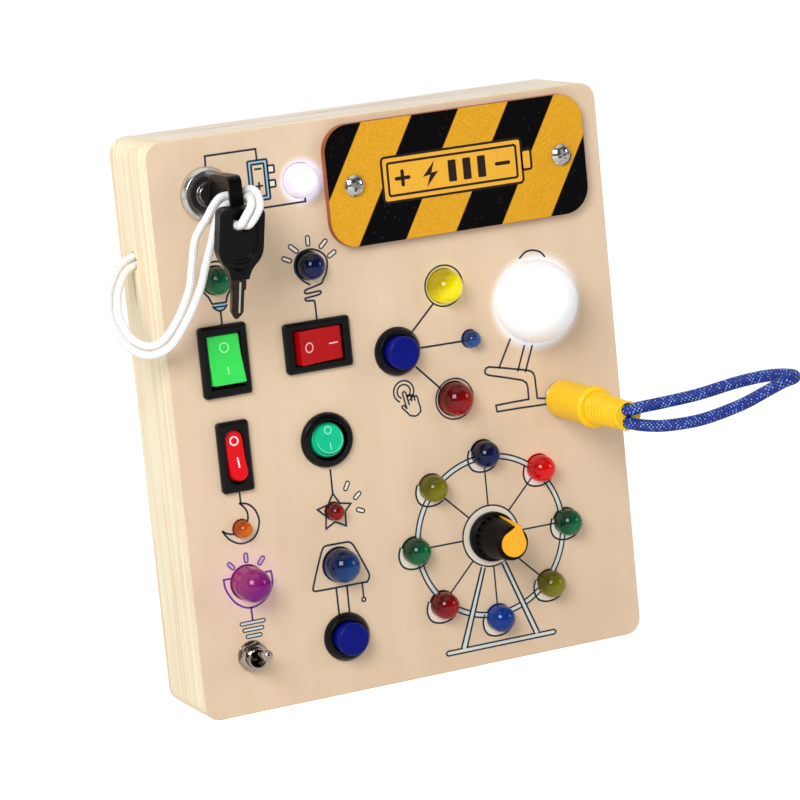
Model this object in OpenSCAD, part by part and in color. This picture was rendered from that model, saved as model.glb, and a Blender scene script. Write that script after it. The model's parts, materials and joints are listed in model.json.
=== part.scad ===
// Wooden busy board: a small pine case whose front panel carries lamps, switches,
// a key switch, a selector knob and a pull plug. Millimetres, +Z up, the front looks
// along -Y, and the origin is the middle of the case's underside.

/* [Case] */
// Width of the case
board_w = 144; // [139:1:180]
// Height of the case
board_h = 170; // [168:1:210]
// Depth of the case, front to back
board_d = 30; // [28:1:45]
// Thickness of the front panel
panel_t = 5; // [4:0.5:6]
// Thickness of the frame rails
rail_t = 8; // [7.5:0.5:8.5]
// Thickness of the screwed-on back panel
back_t = 3; // [2.5:0.5:4]
// How far the back panel is let into the rails
rebate_w = 3; // [2.5:0.5:3.5]
// Radius of the case's corners, seen from the front
corner_r = 5; // [1:0.5:6]
// Play of the back panel in its rebate, each side
back_play = 0.2; // [0.1:0.1:0.5]

/* [Layout] */
// Left edge to the first column of controls
col_1_inset = 17.2; // [16.8:0.1:20]
// First column to the second column, where the width is shared out
col_pitch = 29.3; // [27:0.1:32]
// First column to the centre button, likewise
fan_reach = 54.5; // [52:0.1:57]
// First column to the wheel of lamps, likewise
wheel_reach = 79.2; // [77:0.1:82]
// First column to the globe lamp, likewise
globe_reach = 99.3; // [97:0.1:102]
// First column to the plug socket, the last in the width
jack_reach = 106.4; // [104:0.1:109]
// Right edge to the plug socket
jack_inset = 20.4; // [18:0.1:24]
// Top edge down to the key switch
lock_drop = 16.5; // [16.5:0.1:18]
// Key switch to the bulb lamps, where the height is shared out
bulb_pitch = 25; // [23:0.1:27]
// Bulb lamps to the large rockers, likewise
rocker_pitch = 23.4; // [22:0.1:26]
// Large rockers to the small rockers, likewise
small_rocker_pitch = 28.3; // [26:0.1:31]
// Small rockers to the moon and star lamps, likewise
small_lamp_pitch = 21.5; // [19:0.1:24]
// Moon and star lamps to the two large lamps, likewise
large_lamp_pitch = 16.1; // [14:0.1:18]
// Large lamps to the lowest row, likewise
low_pitch = 21.9; // [19:0.1:24]
// Key switch down to the globe lamp, likewise
globe_fall = 45.7; // [43:0.1:47]
// Key switch down to the centre button, likewise
fan_fall = 54.3; // [52:0.1:56]
// Key switch down to the plug socket, likewise
jack_fall = 76.8; // [74:0.1:79]
// Underside up to the lowest row
low_rise = 17.3; // [16:0.1:19]
// Left edge to the toggle switch
toggle_inset = 16.3; // [14:0.1:20]
// Distance of the button's three lamps from it
fan_r = 24; // [20:0.1:26]
// Top edge down to the middle of the battery cover
cover_drop = 20; // [20:0.1:22]
// Underside up to the wheel of lamps
wheel_rise = 38.9; // [38:0.1:41]
// Radius of the wheel of lamps
wheel_r = 25.3; // [20:0.1:26]

/* [Lamps] */
// Diameter of a small lamp
small_lamp_d = 5; // [4:0.5:6]
// Diameter of a medium lamp
medium_lamp_d = 8; // [7:0.5:9]
// Diameter of a large lamp
large_lamp_d = 10; // [9:0.5:11]
// Straight part of a lamp in front of the panel, as a share of its diameter
lamp_stand = 0.19; // [0.1:0.01:0.4]
// How much further out the small and medium lamps stand
lamp_proud = 0.9; // [0:0.1:2]
// How much further out the lamp in the bowl stands
bowl_lamp_proud = 3.6; // [0:0.1:4]
// How much further out the lamp in the shade stands
shade_lamp_proud = 1.5; // [0:0.1:4]
// Width of the flange behind the panel
lamp_flange_w = 0.8; // [0.4:0.1:1.2]
// Thickness of that flange
lamp_flange_t = 1.5; // [1:0.1:2]
// Thickness of a lamp's leads
lead_d = 0.6; // [0.4:0.1:0.8]
// Length of a lamp's leads
lead_l = 8; // [7.2:0.1:9]
// Diameter of the globe lamp
globe_d = 25; // [22:0.5:27]
// Height of the globe's centre in front of the panel
globe_rise = 4; // [2:0.5:6]
// Wall of the globe
globe_wall = 1.2; // [0.8:0.1:2]

/* [Key switch and keys] */
// Diameter of the key switch's bezel
lock_bezel_d = 16; // [15:0.5:18]
// Height of that bezel
lock_bezel_h = 2.6; // [2:0.1:3.5]
// Diameter of its barrel
lock_barrel_d = 12; // [11:0.5:12.5]
// Depth of the barrel behind the panel's face
lock_depth = 14; // [12:0.5:16]
// Diameter of the turning core
core_d = 7.3; // [7:0.1:8]
// Width of a key's head
key_head_w = 13.6; // [12:0.1:16]
// Length of a key's head
key_head_l = 20.6; // [20:0.1:24]
// Thickness of a key's head
key_head_t = 4; // [3:0.1:4.4]
// Diameter of the ring hole in a key's head
key_hole_d = 5.6; // [5.2:0.1:6]
// Outer end of the head to the ring hole
key_hole_inset = 4.5; // [4.4:0.1:6]
// Length of a key's blade
blade_l = 11.7; // [11:0.1:14.4]
// Width of the blade at the head
blade_w = 4.6; // [4:0.1:5]
// Thickness of the blade
blade_t = 1.8; // [1.4:0.1:2]
// Inserted key: panel face to the shoulder of its head
key_shoulder = 3.5; // [3.4:0.1:6]

/* [Rockers] */
// Width of a large rocker's bezel
rocker_w = 15; // [14:0.5:16]
// Length of a rocker's bezel
rocker_l = 21; // [20:0.5:22]
// Width of the slim rocker's bezel
slim_w = 10; // [9.5:0.5:12]
// Diameter of the round rocker's bezel
round_d = 16.4; // [16:0.2:18]
// Height of the bezels
bezel_h = 2; // [1.5:0.1:2.5]
// Depth of the rocker bodies behind the panel's face
rocker_depth = 13; // [11:0.5:15]
// Tilt of a rocker to either side
rocker_tilt = 12; // [8:1:12]

/* [Push buttons] */
// Diameter of a push button's ring
button_ring_d = 14.6; // [14:0.1:16]
// Height of that ring
button_ring_h = 2.2; // [1.5:0.1:3]
// Diameter of the cap
button_cap_d = 9.8; // [9.5:0.1:10.6]
// Height of the cap's face in front of the panel
button_cap_h = 6; // [5.5:0.1:7]
// Travel of the cap
button_travel = 2.5; // [1.5:0.1:3]

/* [Toggle] */
// Diameter of the toggle's threaded bush
bush_d = 6; // [6:0.1:6.4]
// Length of the bush in front of the panel
bush_l = 5; // [4:0.1:6]
// Length of the lever in front of the panel
lever_l = 14; // [12:0.5:18]
// Tilt of the lever to either side
lever_tilt = 11; // [8:1:11]

/* [Selector knob] */
// Diameter of the knob's skirt
knob_d = 15; // [14:0.5:17]
// Height of the knob in front of the panel
knob_h = 16.4; // [14:0.1:20]
// Number of flutes around the knob
flutes = 18; // [12:1:24]
// Diameter of the selector's shaft
shaft_d = 6; // [5:0.5:6]
// Angle of the pointer, clockwise from straight up
pointer_angle = 24; // [0:1:60]

/* [Plug] */
// Diameter of the plug's shell
plug_d = 11.5; // [11:0.5:13]
// Length of the shell up to its collar
shell_l = 20.5; // [18:0.5:24]
// Diameter of the collar
collar_d = 12.4; // [11.5:0.1:13.6]
// Overall length of the plug in front of the panel
plug_l = 43.5; // [40:0.5:50]
// Number of rings around the strain relief
relief_rings = 9; // [5:1:12]
// Diameter of the pull cord
loop_d = 3.6; // [3:0.1:3.6]

/* [Battery compartment] */
// Right edge to the battery cover
cover_margin = 6.2; // [4:0.1:8]
// Lamp of the key switch to the battery cover
cover_gap = 2.3; // [1:0.1:4]
// Height of the battery cover
cover_h = 36; // [34:1:37]
// Thickness of the battery cover
cover_t = 3; // [2:0.5:5]
// Corner radius of the battery cover
cover_r = 8; // [3:0.5:10]
// Cover's edge to its screws
cover_screw_inset = 8.3; // [6:0.1:9]
// Diameter of a battery
cell_d = 10.5; // [10.5:0.1:10.5]
// Length of a battery
cell_l = 44.5; // [44.5:0.1:44.5]

/* [Cord] */
// Diameter of the key cord
cord_d = 2.3; // [1.6:0.1:2.3]
// Bore in the left rail for the key cord
cord_bore_d = 5.2; // [5:0.1:7]

/* [Hidden] */
$fn = 48;

face_y = -board_d / 2;
eps = 0.01;
far = 400;                             // longer than anything in the model

// clearances
hole_play = 0.25;  // a lamp, barrel or bush in its hole in the panel
shaft_play = 0.05; // a shaft or pin in its bore
run_gap = 0.3;     // faces that move past each other
fit_play = 0.04;   // a screw, nut or knob on its thread or shaft

// the columns and rows share out the panel's width and height in the ratio of their pitches
row_pitches = [bulb_pitch, rocker_pitch, small_rocker_pitch, small_lamp_pitch, large_lamp_pitch, low_pitch];
function total(v) = v * [for (e = v) 1];
share_x = (board_w - col_1_inset - jack_inset) / jack_reach;
share_z = (board_h - lock_drop - low_rise) / total(row_pitches);
col_1 = -board_w / 2 + col_1_inset;
function across(reach) = col_1 + share_x * reach;
function down(fall) = board_h - lock_drop - share_z * fall;
function row(n) = down(total([for (i = [0:n - 1]) row_pitches[i]]));

// places on the panel, as [x, z]
lock_at = [col_1, down(0)];
lock_lamp_at = [across(col_pitch), down(0)];
green_lamp_at = [col_1, row(1)];
blue_lamp_at = [across(col_pitch), row(1)];
green_rocker_at = [col_1, row(2)];
red_rocker_at = [across(col_pitch), row(2)];
slim_rocker_at = [col_1, row(3)];
round_rocker_at = [across(col_pitch), row(3)];
moon_lamp_at = [col_1, row(4)];
star_lamp_at = [across(col_pitch), row(4)];
purple_lamp_at = [col_1, row(5)];
shade_lamp_at = [across(col_pitch), row(5)];
toggle_at = [-board_w / 2 + toggle_inset, low_rise];
low_button_at = [across(col_pitch), low_rise];
fan_at = [across(fan_reach), down(fan_fall)];
yellow_lamp_at = fan_at + fan_r * [cos(45), sin(45)];
small_blue_lamp_at = fan_at + fan_r * [1, 0];
red_lamp_at = fan_at + fan_r * [cos(45), -sin(45)];
globe_at = [across(globe_reach), down(globe_fall)];
jack_at = [across(jack_reach), down(jack_fall)];
wheel_at = [across(wheel_reach), wheel_rise];

// the battery cover fills the width from the key switch's lamp to its margin
cover_left = lock_lamp_at[0] + large_lamp_d / 2 + cover_gap;
cover_w = board_w / 2 - cover_margin - cover_left;
cover_at = [cover_left + cover_w / 2, board_h - cover_drop];
cover_screw_pitch = cover_w - 2 * cover_screw_inset;

// the keys with their cord, and the pull cord, are drawn for these places, and move with them
drawn_lock_at = [-54.8, 153.5];
drawn_jack_at = [51.6, 76.7];
module by_lock() translate([lock_at[0] - drawn_lock_at[0], 0, lock_at[1] - drawn_lock_at[1]]) children();
module by_jack() translate([jack_at[0] - drawn_jack_at[0], 0, jack_at[1] - drawn_jack_at[1]]) children();

function wheel_lamp_at(i) = wheel_at + wheel_r * [sin(45 * i), cos(45 * i)];

// sizes that several pieces share
globe_stub_d = 12;
rocker_body_w = rocker_w - 2.2;
slim_body_w = slim_w - 1.6;
round_body_d = round_d - 2.4;
rocker_body_l = rocker_l - 2.2;
rocker_open = [rocker_w - 4.4, rocker_l - 5.2];
slim_open = [slim_w - 4.2, rocker_l - 5];
round_open_d = round_d - 4.4;
paddle_gap = run_gap;       // between a paddle's side and its opening
paddle_crown = 2.6;         // height of a paddle's ends over its pivot
paddle_dip = 1.9;           // height of its middle over its pivot
paddle_foot = 3.5;          // depth of its foot under the pivot
paddle_pin_d = 2;
paddle_pin_l = 0.9;
paddle_cavity = 5.6;        // depth of the opening behind the panel's face
button_body_d = 12;
button_depth = 12;
button_floor = 9;           // depth of the cap's well
lock_end = lock_depth + 3;  // rear end of the key switch's contact block
nut_t = 2.5;
lock_nut_af = 14;
button_nut_af = 14;
bush_nut_af = 8;
bush_nut_t = 2;
washer_t = 0.6;
washer_d = 9.2;
selector_bush_d = shaft_d + 1;
selector_nut_af = 10;
selector_nut_t = 1.8;
selector_body_d = 16;
selector_body_t = 6.5;
jack_flange_d = 10.6;
jack_flange_t = 1;
jack_sleeve_d = 8.3;
jack_sleeve_l = 8;
jack_body_d = 8;
jack_depth = 14;
jack_nut_af = 11;
jack_nut_t = 2;
pin_d = 3.2;
plug_gap = 0.4;             // shell to the socket's flange
mouth_pitch = loop_d + 0.25; // distance between the pull cord's two ends
mouth_depth = 5;
tray_wall = 1.2;
cell_gap = 0.4;
tray_in = [cell_l + 5.5, 2 * cell_d + 3 * cell_gap];
tray_out = tray_in + 2 * [tray_wall, tray_wall];
tray_depth = 16;
tray_rim_w = 2.8;
tray_rim_t = 1.5;
tray_at = [cover_at[0], board_h - rail_t - run_gap - tray_rim_w - tray_out[1] / 2]; // under the top rail
cell_z = -tray_depth + tray_wall + cell_d / 2;
contact_t = 0.4;
contact_w = 7;
leaf_w = 3;
screw_d = 3;
screw_head_d = 6.4;
back_screw_d = 2;
back_screw_head_d = 3.8;
back_sink = 1.4;            // depth of their countersinks
back_screw_l = 10;
board_plate_d = 59;
board_plate_t = 1.6;
board_plate_z = -12;        // front of the circuit board, from the panel's face

// ---------------------------------------------------------------- helpers

// Puts a piece on the panel at [x, z]: its x runs right, its y up, its z out of the panel
module on_panel(at) translate([at[0], face_y, at[1]]) rotate([90, 0, 0]) children();

module round_rect(w, h, r) {
    square([w - 2 * r, h], center = true);
    square([w, h - 2 * r], center = true);
    for (sx = [-1, 1], sy = [-1, 1]) translate([sx * (w / 2 - r), sy * (h / 2 - r)]) circle(r);
}

module stadium(w, l) {
    square([w, l - w], center = true);
    for (s = [-1, 1]) translate([0, s * (l - w) / 2]) circle(d = w);
}

// A straight prism from height z0 to z1
module slab(z0, z1) translate([0, 0, z0]) linear_extrude(z1 - z0) children();

module rod(d, z0, z1) translate([0, 0, z0]) cylinder(d = d, h = z1 - z0);

// Section of a plate of width w and height h, with a bevel c at both upper edges
module bevel_section(w, h, c) polygon([
    [-w / 2, 0], [-w / 2, h - c], [-w / 2 + c, h], [w / 2 - c, h], [w / 2, h - c], [w / 2, 0]
]);

// A slab of height h whose outline, w by l, has a bevel c around its front edge
module bevel_slab(w, l, h, c) intersection() {
    slab(0, h) children();
    rotate([90, 0, 90]) translate([0, 0, -w]) linear_extrude(2 * w) bevel_section(l, h, c);
    rotate([90, 0, 0]) translate([0, 0, -l]) linear_extrude(2 * l) bevel_section(w, h, c);
}

// A hexagonal nut with its corners turned off at the front
module hex_nut(af, bore, t) intersection() {
    difference() {
        cylinder(d = af / cos(30), h = t, $fn = 6);
        rod(bore + 2 * fit_play, -eps, t + eps);
    }
    rotate_extrude() polygon([[0, 0], [af, 0], [af, t * 0.2], [af / 2 * 0.97, t], [0, t]]);
}

// ---------------------------------------------------------------- case

module case_outline() translate([0, board_h / 2]) round_rect(board_w, board_h, corner_r);

module back_outline(play) translate([0, board_h / 2])
    square([board_w - 2 * rebate_w - 2 * play, board_h - 2 * rebate_w - 2 * play], center = true);

module round_hole(at, d) translate(at) circle(d = d + 2 * hole_play);
module square_hole(at, w, l) translate(at) square([w + 2 * hole_play, l + 2 * hole_play], center = true);

module front_panel() color("burlywood") on_panel([0, 0]) slab(-panel_t, 0) difference() {
    case_outline();
    for (at = [green_lamp_at, blue_lamp_at]) round_hole(at, medium_lamp_d);
    for (i = [0:7]) round_hole(wheel_lamp_at(i), medium_lamp_d);
    for (at = [lock_lamp_at, purple_lamp_at, shade_lamp_at, yellow_lamp_at, red_lamp_at])
        round_hole(at, large_lamp_d);
    for (at = [moon_lamp_at, star_lamp_at, small_blue_lamp_at]) round_hole(at, small_lamp_d);
    round_hole(globe_at, globe_stub_d);
    round_hole(lock_at, lock_barrel_d);
    round_hole(toggle_at, bush_d);
    round_hole(wheel_at, selector_bush_d);
    round_hole(jack_at, jack_body_d);
    for (at = [fan_at, low_button_at]) round_hole(at, button_body_d);
    square_hole(green_rocker_at, rocker_body_w, rocker_body_l);
    square_hole(red_rocker_at, rocker_body_l, rocker_body_w);
    square_hole(slim_rocker_at, slim_body_w, rocker_body_l);
    round_hole(round_rocker_at, round_body_d);
    square_hole(tray_at, tray_out[0], tray_out[1]);
    translate(cover_at) for (s = [-1, 1]) translate([s * cover_screw_pitch / 2, 0]) circle(d = screw_d);
}

// The frame's ring from the panel to the back, with the rebate for the back panel
module frame_ring() {
    difference() {
        slab(-board_d, -panel_t) case_outline();
        slab(-board_d - eps, -board_d + back_t) back_outline(0);
        slab(-board_d - eps, -panel_t + eps) translate([0, board_h / 2])
            square([board_w - 2 * rail_t, board_h - 2 * rail_t], center = true);
    }
}

back_screw_x = board_w / 2 - (rail_t + rebate_w) / 2;
back_screw_rows = [15, board_h / 2, board_h - 15];

module back_screw_bores() for (s = [-1, 1], h = back_screw_rows) translate([s * back_screw_x, h])
    rod(back_screw_d, -board_d - eps, -board_d + back_screw_l);

cord_bore_fall = 18.5; // key switch down to the bore
cord_bore_at = [4, lock_at[1] - cord_bore_fall]; // y and z of the bore in the left rail

module frame_side(s) difference() {
    intersection() {
        frame_ring();
        slab(-board_d, -panel_t) translate([s * (board_w - rail_t) / 2, board_h / 2])
            square([rail_t, board_h], center = true);
    }
    back_screw_bores();
}

module frame_left() color("wheat") difference() {
    on_panel([0, 0]) frame_side(-1);
    translate([-board_w / 2 - 1, cord_bore_at[0], cord_bore_at[1]])
        rotate([0, 90, 0]) cylinder(d = cord_bore_d, h = rail_t + 2);
}

module frame_right() color("wheat") on_panel([0, 0]) frame_side(1);

module frame_rails() color("wheat") on_panel([0, 0]) for (h = [rail_t / 2, board_h - rail_t / 2])
    intersection() {
        frame_ring();
        slab(-board_d, -panel_t) translate([0, h]) square([board_w - 2 * rail_t, rail_t], center = true);
    }

module back_panel() color("burlywood") on_panel([0, 0]) difference() {
    slab(-board_d, -board_d + back_t) back_outline(back_play);
    back_screw_bores();
    for (s = [-1, 1], h = back_screw_rows) translate([s * back_screw_x, h, -board_d])
        cylinder(d1 = back_screw_head_d + 0.4, d2 = back_screw_d, h = back_sink);
}

module cross_recess(z, d) for (a = [0, 90]) rotate([0, 0, a]) translate([0, 0, z])
    cube([d, d / 4.5, 2], center = true);

module pan_screw() difference() {
    rotate_extrude() polygon([
        [0, cover_t + 2.1], [screw_head_d * 0.22, cover_t + 1.95], [screw_head_d * 0.38, cover_t + 1.45],
        [screw_head_d / 2, cover_t + 0.7], [screw_head_d / 2, cover_t],
        [screw_d / 2 - fit_play, cover_t], [screw_d / 2 - fit_play, -panel_t - 1], [0, -panel_t - 2.2]
    ]);
    cross_recess(cover_t + 2, 3.4);
}

module back_screw() difference() {
    rotate_extrude() polygon([
        [0, -board_d + 0.2], [back_screw_head_d / 2 - fit_play, -board_d + 0.2],
        [back_screw_d / 2 - fit_play, -board_d + back_sink],
        [back_screw_d / 2 - fit_play, -board_d + back_screw_l - 2],
        [0, -board_d + back_screw_l - 0.2]
    ]);
    cross_recess(-board_d, 2.2);
}

module screws() color("silver") {
    on_panel(cover_at) for (s = [-1, 1])
        translate([s * cover_screw_pitch / 2, 0]) rotate([0, 0, 20 * s]) pan_screw();
    on_panel([0, 0]) for (s = [-1, 1], h = back_screw_rows) translate([s * back_screw_x, h]) back_screw();
}

// ---------------------------------------------------------------- battery compartment

module battery_cover() color("gold") on_panel(cover_at) slab(0, cover_t) difference() {
    round_rect(cover_w, cover_h, cover_r);
    for (s = [-1, 1]) translate([s * cover_screw_pitch / 2, 0]) circle(d = screw_d + 0.2);
}

module battery_tray() color("dimgray") on_panel(tray_at) difference() {
    union() {
        slab(-tray_depth, -0.3) square(tray_out, center = true);
        slab(-panel_t - tray_rim_t, -panel_t) square(tray_out + 2 * [tray_rim_w, tray_rim_w], center = true);
    }
    slab(-tray_depth + tray_wall, far) square(tray_in, center = true);
    translate(cover_at - tray_at) for (s = [-1, 1])
        translate([s * cover_screw_pitch / 2, 0]) rod(screw_d + 2 * hole_play, -panel_t - 2, 0);
    for (s = [-1, 1]) translate([s * (tray_in[0] / 2 - 2.5), 0]) rod(1.6, -tray_depth - 1, 0); // wire ways
}

module batteries() color("seagreen") on_panel(tray_at) for (s = [-1, 1])
    translate([-s * (tray_in[0] / 2 - contact_t - cell_l / 2), s * (cell_d + cell_gap) / 2, cell_z + 0.1])
        rotate([0, -s * 90, 0]) rotate_extrude() polygon([
            [0, -cell_l / 2], [cell_d / 2, -cell_l / 2], [cell_d / 2, cell_l / 2 - 0.9],
            [cell_d / 2 - 0.6, cell_l / 2 - 0.8], [1.9, cell_l / 2 - 0.8], [1.9, cell_l / 2], [0, cell_l / 2]
        ]);

module contact_plate() translate([0, -contact_w / 2, -contact_w / 2]) cube([contact_t, contact_w, contact_w]);

// A flat spring tongue: a plate on the end wall and a bent leaf that reaches the battery
module contact_leaf(reach) {
    contact_plate();
    translate([contact_t, -leaf_w / 2, -contact_w / 2]) cube([reach - contact_t, leaf_w, contact_t]);
    translate([reach - contact_t, -leaf_w / 2, -contact_w / 2])
        cube([contact_t, leaf_w, contact_w / 2 + leaf_w / 2]);
}

module battery_contacts() color("silver") on_panel(tray_at) for (s = [-1, 1], e = [-1, 1])
    translate([e * tray_in[0] / 2, s * (cell_d + cell_gap) / 2, cell_z])
        mirror([e > 0 ? 1 : 0, 0, 0]) {
            if (e * s < 0) contact_plate();
            else contact_leaf(tray_in[0] - contact_t - cell_l - 0.1);
        }

// ---------------------------------------------------------------- key switch and keys

module lock_body() color("silver") on_panel(lock_at) {
    r_bore = core_d / 2 + shaft_play;
    r_bezel = lock_bezel_d / 2;
    difference() {
        rotate_extrude() polygon([
            [r_bore, -lock_depth + 1], [r_bore, lock_bezel_h - 0.6], [5.4, lock_bezel_h - 0.6],
            [5.7, lock_bezel_h], [r_bezel - 1.1, lock_bezel_h], [r_bezel - 0.2, lock_bezel_h - 1],
            [r_bezel, lock_bezel_h - 1.4], [r_bezel, 0], [lock_barrel_d / 2, 0],
            [lock_barrel_d / 2, -lock_depth], [lock_barrel_d / 2 - 0.6, -lock_depth],
            [lock_barrel_d / 2 - 0.6, -lock_end], [0, -lock_end], [0, -lock_depth + 1]
        ]);
        rod(1.6, -lock_end - 1, -lock_end + 1.2);
    }
    for (s = [-1, 1]) translate([s * 3.2 - 0.4, -1.4, -lock_end - 4.5]) cube([0.8, 2.8, 4.5]); // terminals
}

module lock_core() color("slategray") on_panel(lock_at) difference() {
    rod(core_d, -lock_depth + 1.2, lock_bezel_h - 0.3);
    slab(key_shoulder - blade_l - 1.5, far / 10) square([blade_t + 0.3, blade_w + 0.4], center = true);
    rotate_extrude() polygon([
        [core_d / 2 - 1.1, lock_bezel_h], [core_d / 2 - 1.1, lock_bezel_h - 0.6],
        [core_d / 2 - 0.6, lock_bezel_h - 0.6], [core_d / 2 - 0.6, lock_bezel_h]
    ]);
}

neck_w = 5.6;
neck_l = 2.4;
blade_root = 2.4; // part of the blade that is held in the head

// A key stands on the shoulder of its head: width along x, thickness along y, head up
module key_outline() {
    r_top = 2.2;
    body = key_head_l - neck_l;
    difference() {
        union() {
            translate([0, key_head_l - (body - key_head_w / 2) / 2])
                round_rect(key_head_w, body - key_head_w / 2, r_top);
            translate([0, neck_l + key_head_w / 2]) {
                circle(d = key_head_w);
                translate([-key_head_w / 2, 0]) square([key_head_w, body - key_head_w / 2 - r_top]);
            }
            // the neck flares up to the round end
            for (m = [0, 1]) mirror([m, 0]) polygon([
                [-eps, 0], [neck_w / 2, 0], [neck_w / 2 + 0.2, neck_l / 2], [neck_w / 2 + 0.8, neck_l + 0.4],
                [neck_w / 2 + 1.9, neck_l + 1.9], [-eps, neck_l + 1.9]
            ]);
        }
        translate([0, key_head_l - key_hole_inset]) circle(d = key_hole_d);
    }
}

// Both faces are sunk inside a rim, and a little deeper below the ring hole
recess_w = key_head_w - 4;
recess_t = 0.55;
recess_step = 0.35;
module recess(w, z0, z1, depth) for (s = [-1, 1]) translate([0, s * key_head_t / 2, 0]) rotate([90, 0, 0])
    translate([0, 0, -depth]) linear_extrude(2 * depth) {
        translate([0, z0 + w / 2]) circle(d = w);
        translate([0, (z0 + w / 2 + z1) / 2]) round_rect(w, z1 - z0 - w / 2, 1);
        translate([-w / 2, z0 + w / 2]) square([w, 2]);
    }

module key_head() difference() {
    rotate([90, 0, 0]) translate([0, 0, -key_head_t / 2]) linear_extrude(key_head_t) key_outline();
    recess(recess_w, neck_l + 2.2, key_head_l - 1.3, recess_t);
    recess(recess_w - 1.8, neck_l + 3.1, key_head_l - key_hole_inset - key_hole_d / 2 - 0.6, recess_t + recess_step);
    slab(-eps, blade_root) square([blade_w, blade_t], center = true); // socket of the blade
}

module key_blade() {
    difference() {
        rotate([90, 0, 0]) translate([0, 0, -blade_t / 2]) linear_extrude(blade_t) polygon([
            [-blade_w / 2, blade_root], [-blade_w / 2, -3], [-blade_w / 2 + 0.5, -3.6],
            [-blade_w / 2 + 0.5, -blade_l + 2], [-0.5, -blade_l], [0.5, -blade_l],
            [blade_w / 2 - 0.5, -blade_l + 2], [blade_w / 2 - 0.5, -3.6], [blade_w / 2, -3],
            [blade_w / 2, blade_root]
        ]);
        for (s = [-1, 1])
            translate([0.5, s * blade_t / 2, -blade_l / 2 - 1]) cube([1, 0.8, blade_l], center = true);
    }
}

// The inserted key's plane is upright, along the switch's axis
module inserted() on_panel(lock_at) translate([0, 0, key_shoulder]) rotate([0, 0, 90]) children();

// The spare key hangs from the cord by its ring hole, a little tilted and leaning
spare_hole = [-56.2, -43, 147.6];
spare_tilt = 10;
spare_lean = 4.5;
module hanging() by_lock() translate(spare_hole) rotate([spare_tilt, 0, 0]) rotate([0, spare_lean, 0])
    translate([0, 0, -(key_head_l - key_hole_inset)]) children();

module main_key_head() color("dimgray") inserted() key_head();
module main_key_blade() color("silver") inserted() key_blade();
module spare_key_head() color("dimgray") hanging() key_head();
module spare_key_blade() color("silver") hanging() key_blade();

// ---------------------------------------------------------------- lamps

// Dome, straight part, flange behind the panel and two leads
module lamp(d, proud = 0) {
    r = d / 2;
    stand = d * lamp_stand + proud;
    rotate_extrude() {
        translate([0, -panel_t]) square([r, panel_t + stand]);
        intersection() {
            translate([0, stand]) circle(r);
            translate([0, stand]) square([r, r]);
        }
        translate([0, -panel_t - lamp_flange_t]) square([r + lamp_flange_w, lamp_flange_t]);
    }
    for (s = [-1, 1])
        translate([s * lead_gap / 2, 0]) rod(lead_d, -panel_t - lamp_flange_t - lead_l, -panel_t - 1);
}
lead_gap = 2.54;

module lock_lamp() color("white") on_panel(lock_lamp_at) lamp(large_lamp_d);
module green_lamp() color("green") on_panel(green_lamp_at) lamp(medium_lamp_d, lamp_proud);
module blue_lamp() color("midnightblue") on_panel(blue_lamp_at) lamp(medium_lamp_d, lamp_proud);
module moon_lamp() color("orange") on_panel(moon_lamp_at) lamp(small_lamp_d, lamp_proud);
module star_lamp() color("darkred") on_panel(star_lamp_at) lamp(small_lamp_d, lamp_proud);
module purple_lamp() color("purple") on_panel(purple_lamp_at) lamp(large_lamp_d, bowl_lamp_proud);
module shade_lamp() color("royalblue") on_panel(shade_lamp_at) lamp(large_lamp_d, shade_lamp_proud);
module yellow_lamp() color("yellow") on_panel(yellow_lamp_at) lamp(large_lamp_d);
module red_lamp() color("darkred") on_panel(red_lamp_at) lamp(large_lamp_d);
module small_blue_lamp() color("steelblue") on_panel(small_blue_lamp_at) lamp(small_lamp_d, lamp_proud);

module wheel_lamps(places) for (i = places) on_panel(wheel_lamp_at(i)) lamp(medium_lamp_d, lamp_proud);
module wheel_lamps_blue() color("navy") wheel_lamps([0, 4]);
module wheel_lamps_green() color("green") wheel_lamps([2, 6]);
module wheel_lamps_olive() color("olive") wheel_lamps([3, 7]);
module wheel_lamp_red() color("darkred") wheel_lamps([5]);
module wheel_lamp_lit() color("red") wheel_lamps([1]);

// A hollow diffuser, open where it stands on the panel
module globe_cover() color("white") on_panel(globe_at) rotate_extrude() difference() {
    intersection() {
        translate([0, globe_rise]) circle(d = globe_d);
        square([globe_d, globe_d]);
    }
    translate([0, globe_rise]) circle(d = globe_d - 2 * globe_wall);
}

module globe_base() color("white") on_panel(globe_at) {
    seat_r = sqrt(pow(globe_d / 2 - globe_wall, 2) - pow(globe_rise, 2)) - 0.2;
    lamp_r = medium_lamp_d / 2;
    rotate_extrude() {
        square([seat_r, 1.6]);
        translate([0, -panel_t - 2]) square([globe_stub_d / 2, panel_t + 2.5]);
        translate([0, 1]) square([lamp_r, 3]);
        intersection() {
            translate([0, 4]) circle(lamp_r);
            translate([0, 4]) square([lamp_r, lamp_r]);
        }
    }
    for (s = [-1, 1]) translate([s * lead_gap / 2, 0]) rod(lead_d, -panel_t - 7, -panel_t - 1);
}

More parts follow.
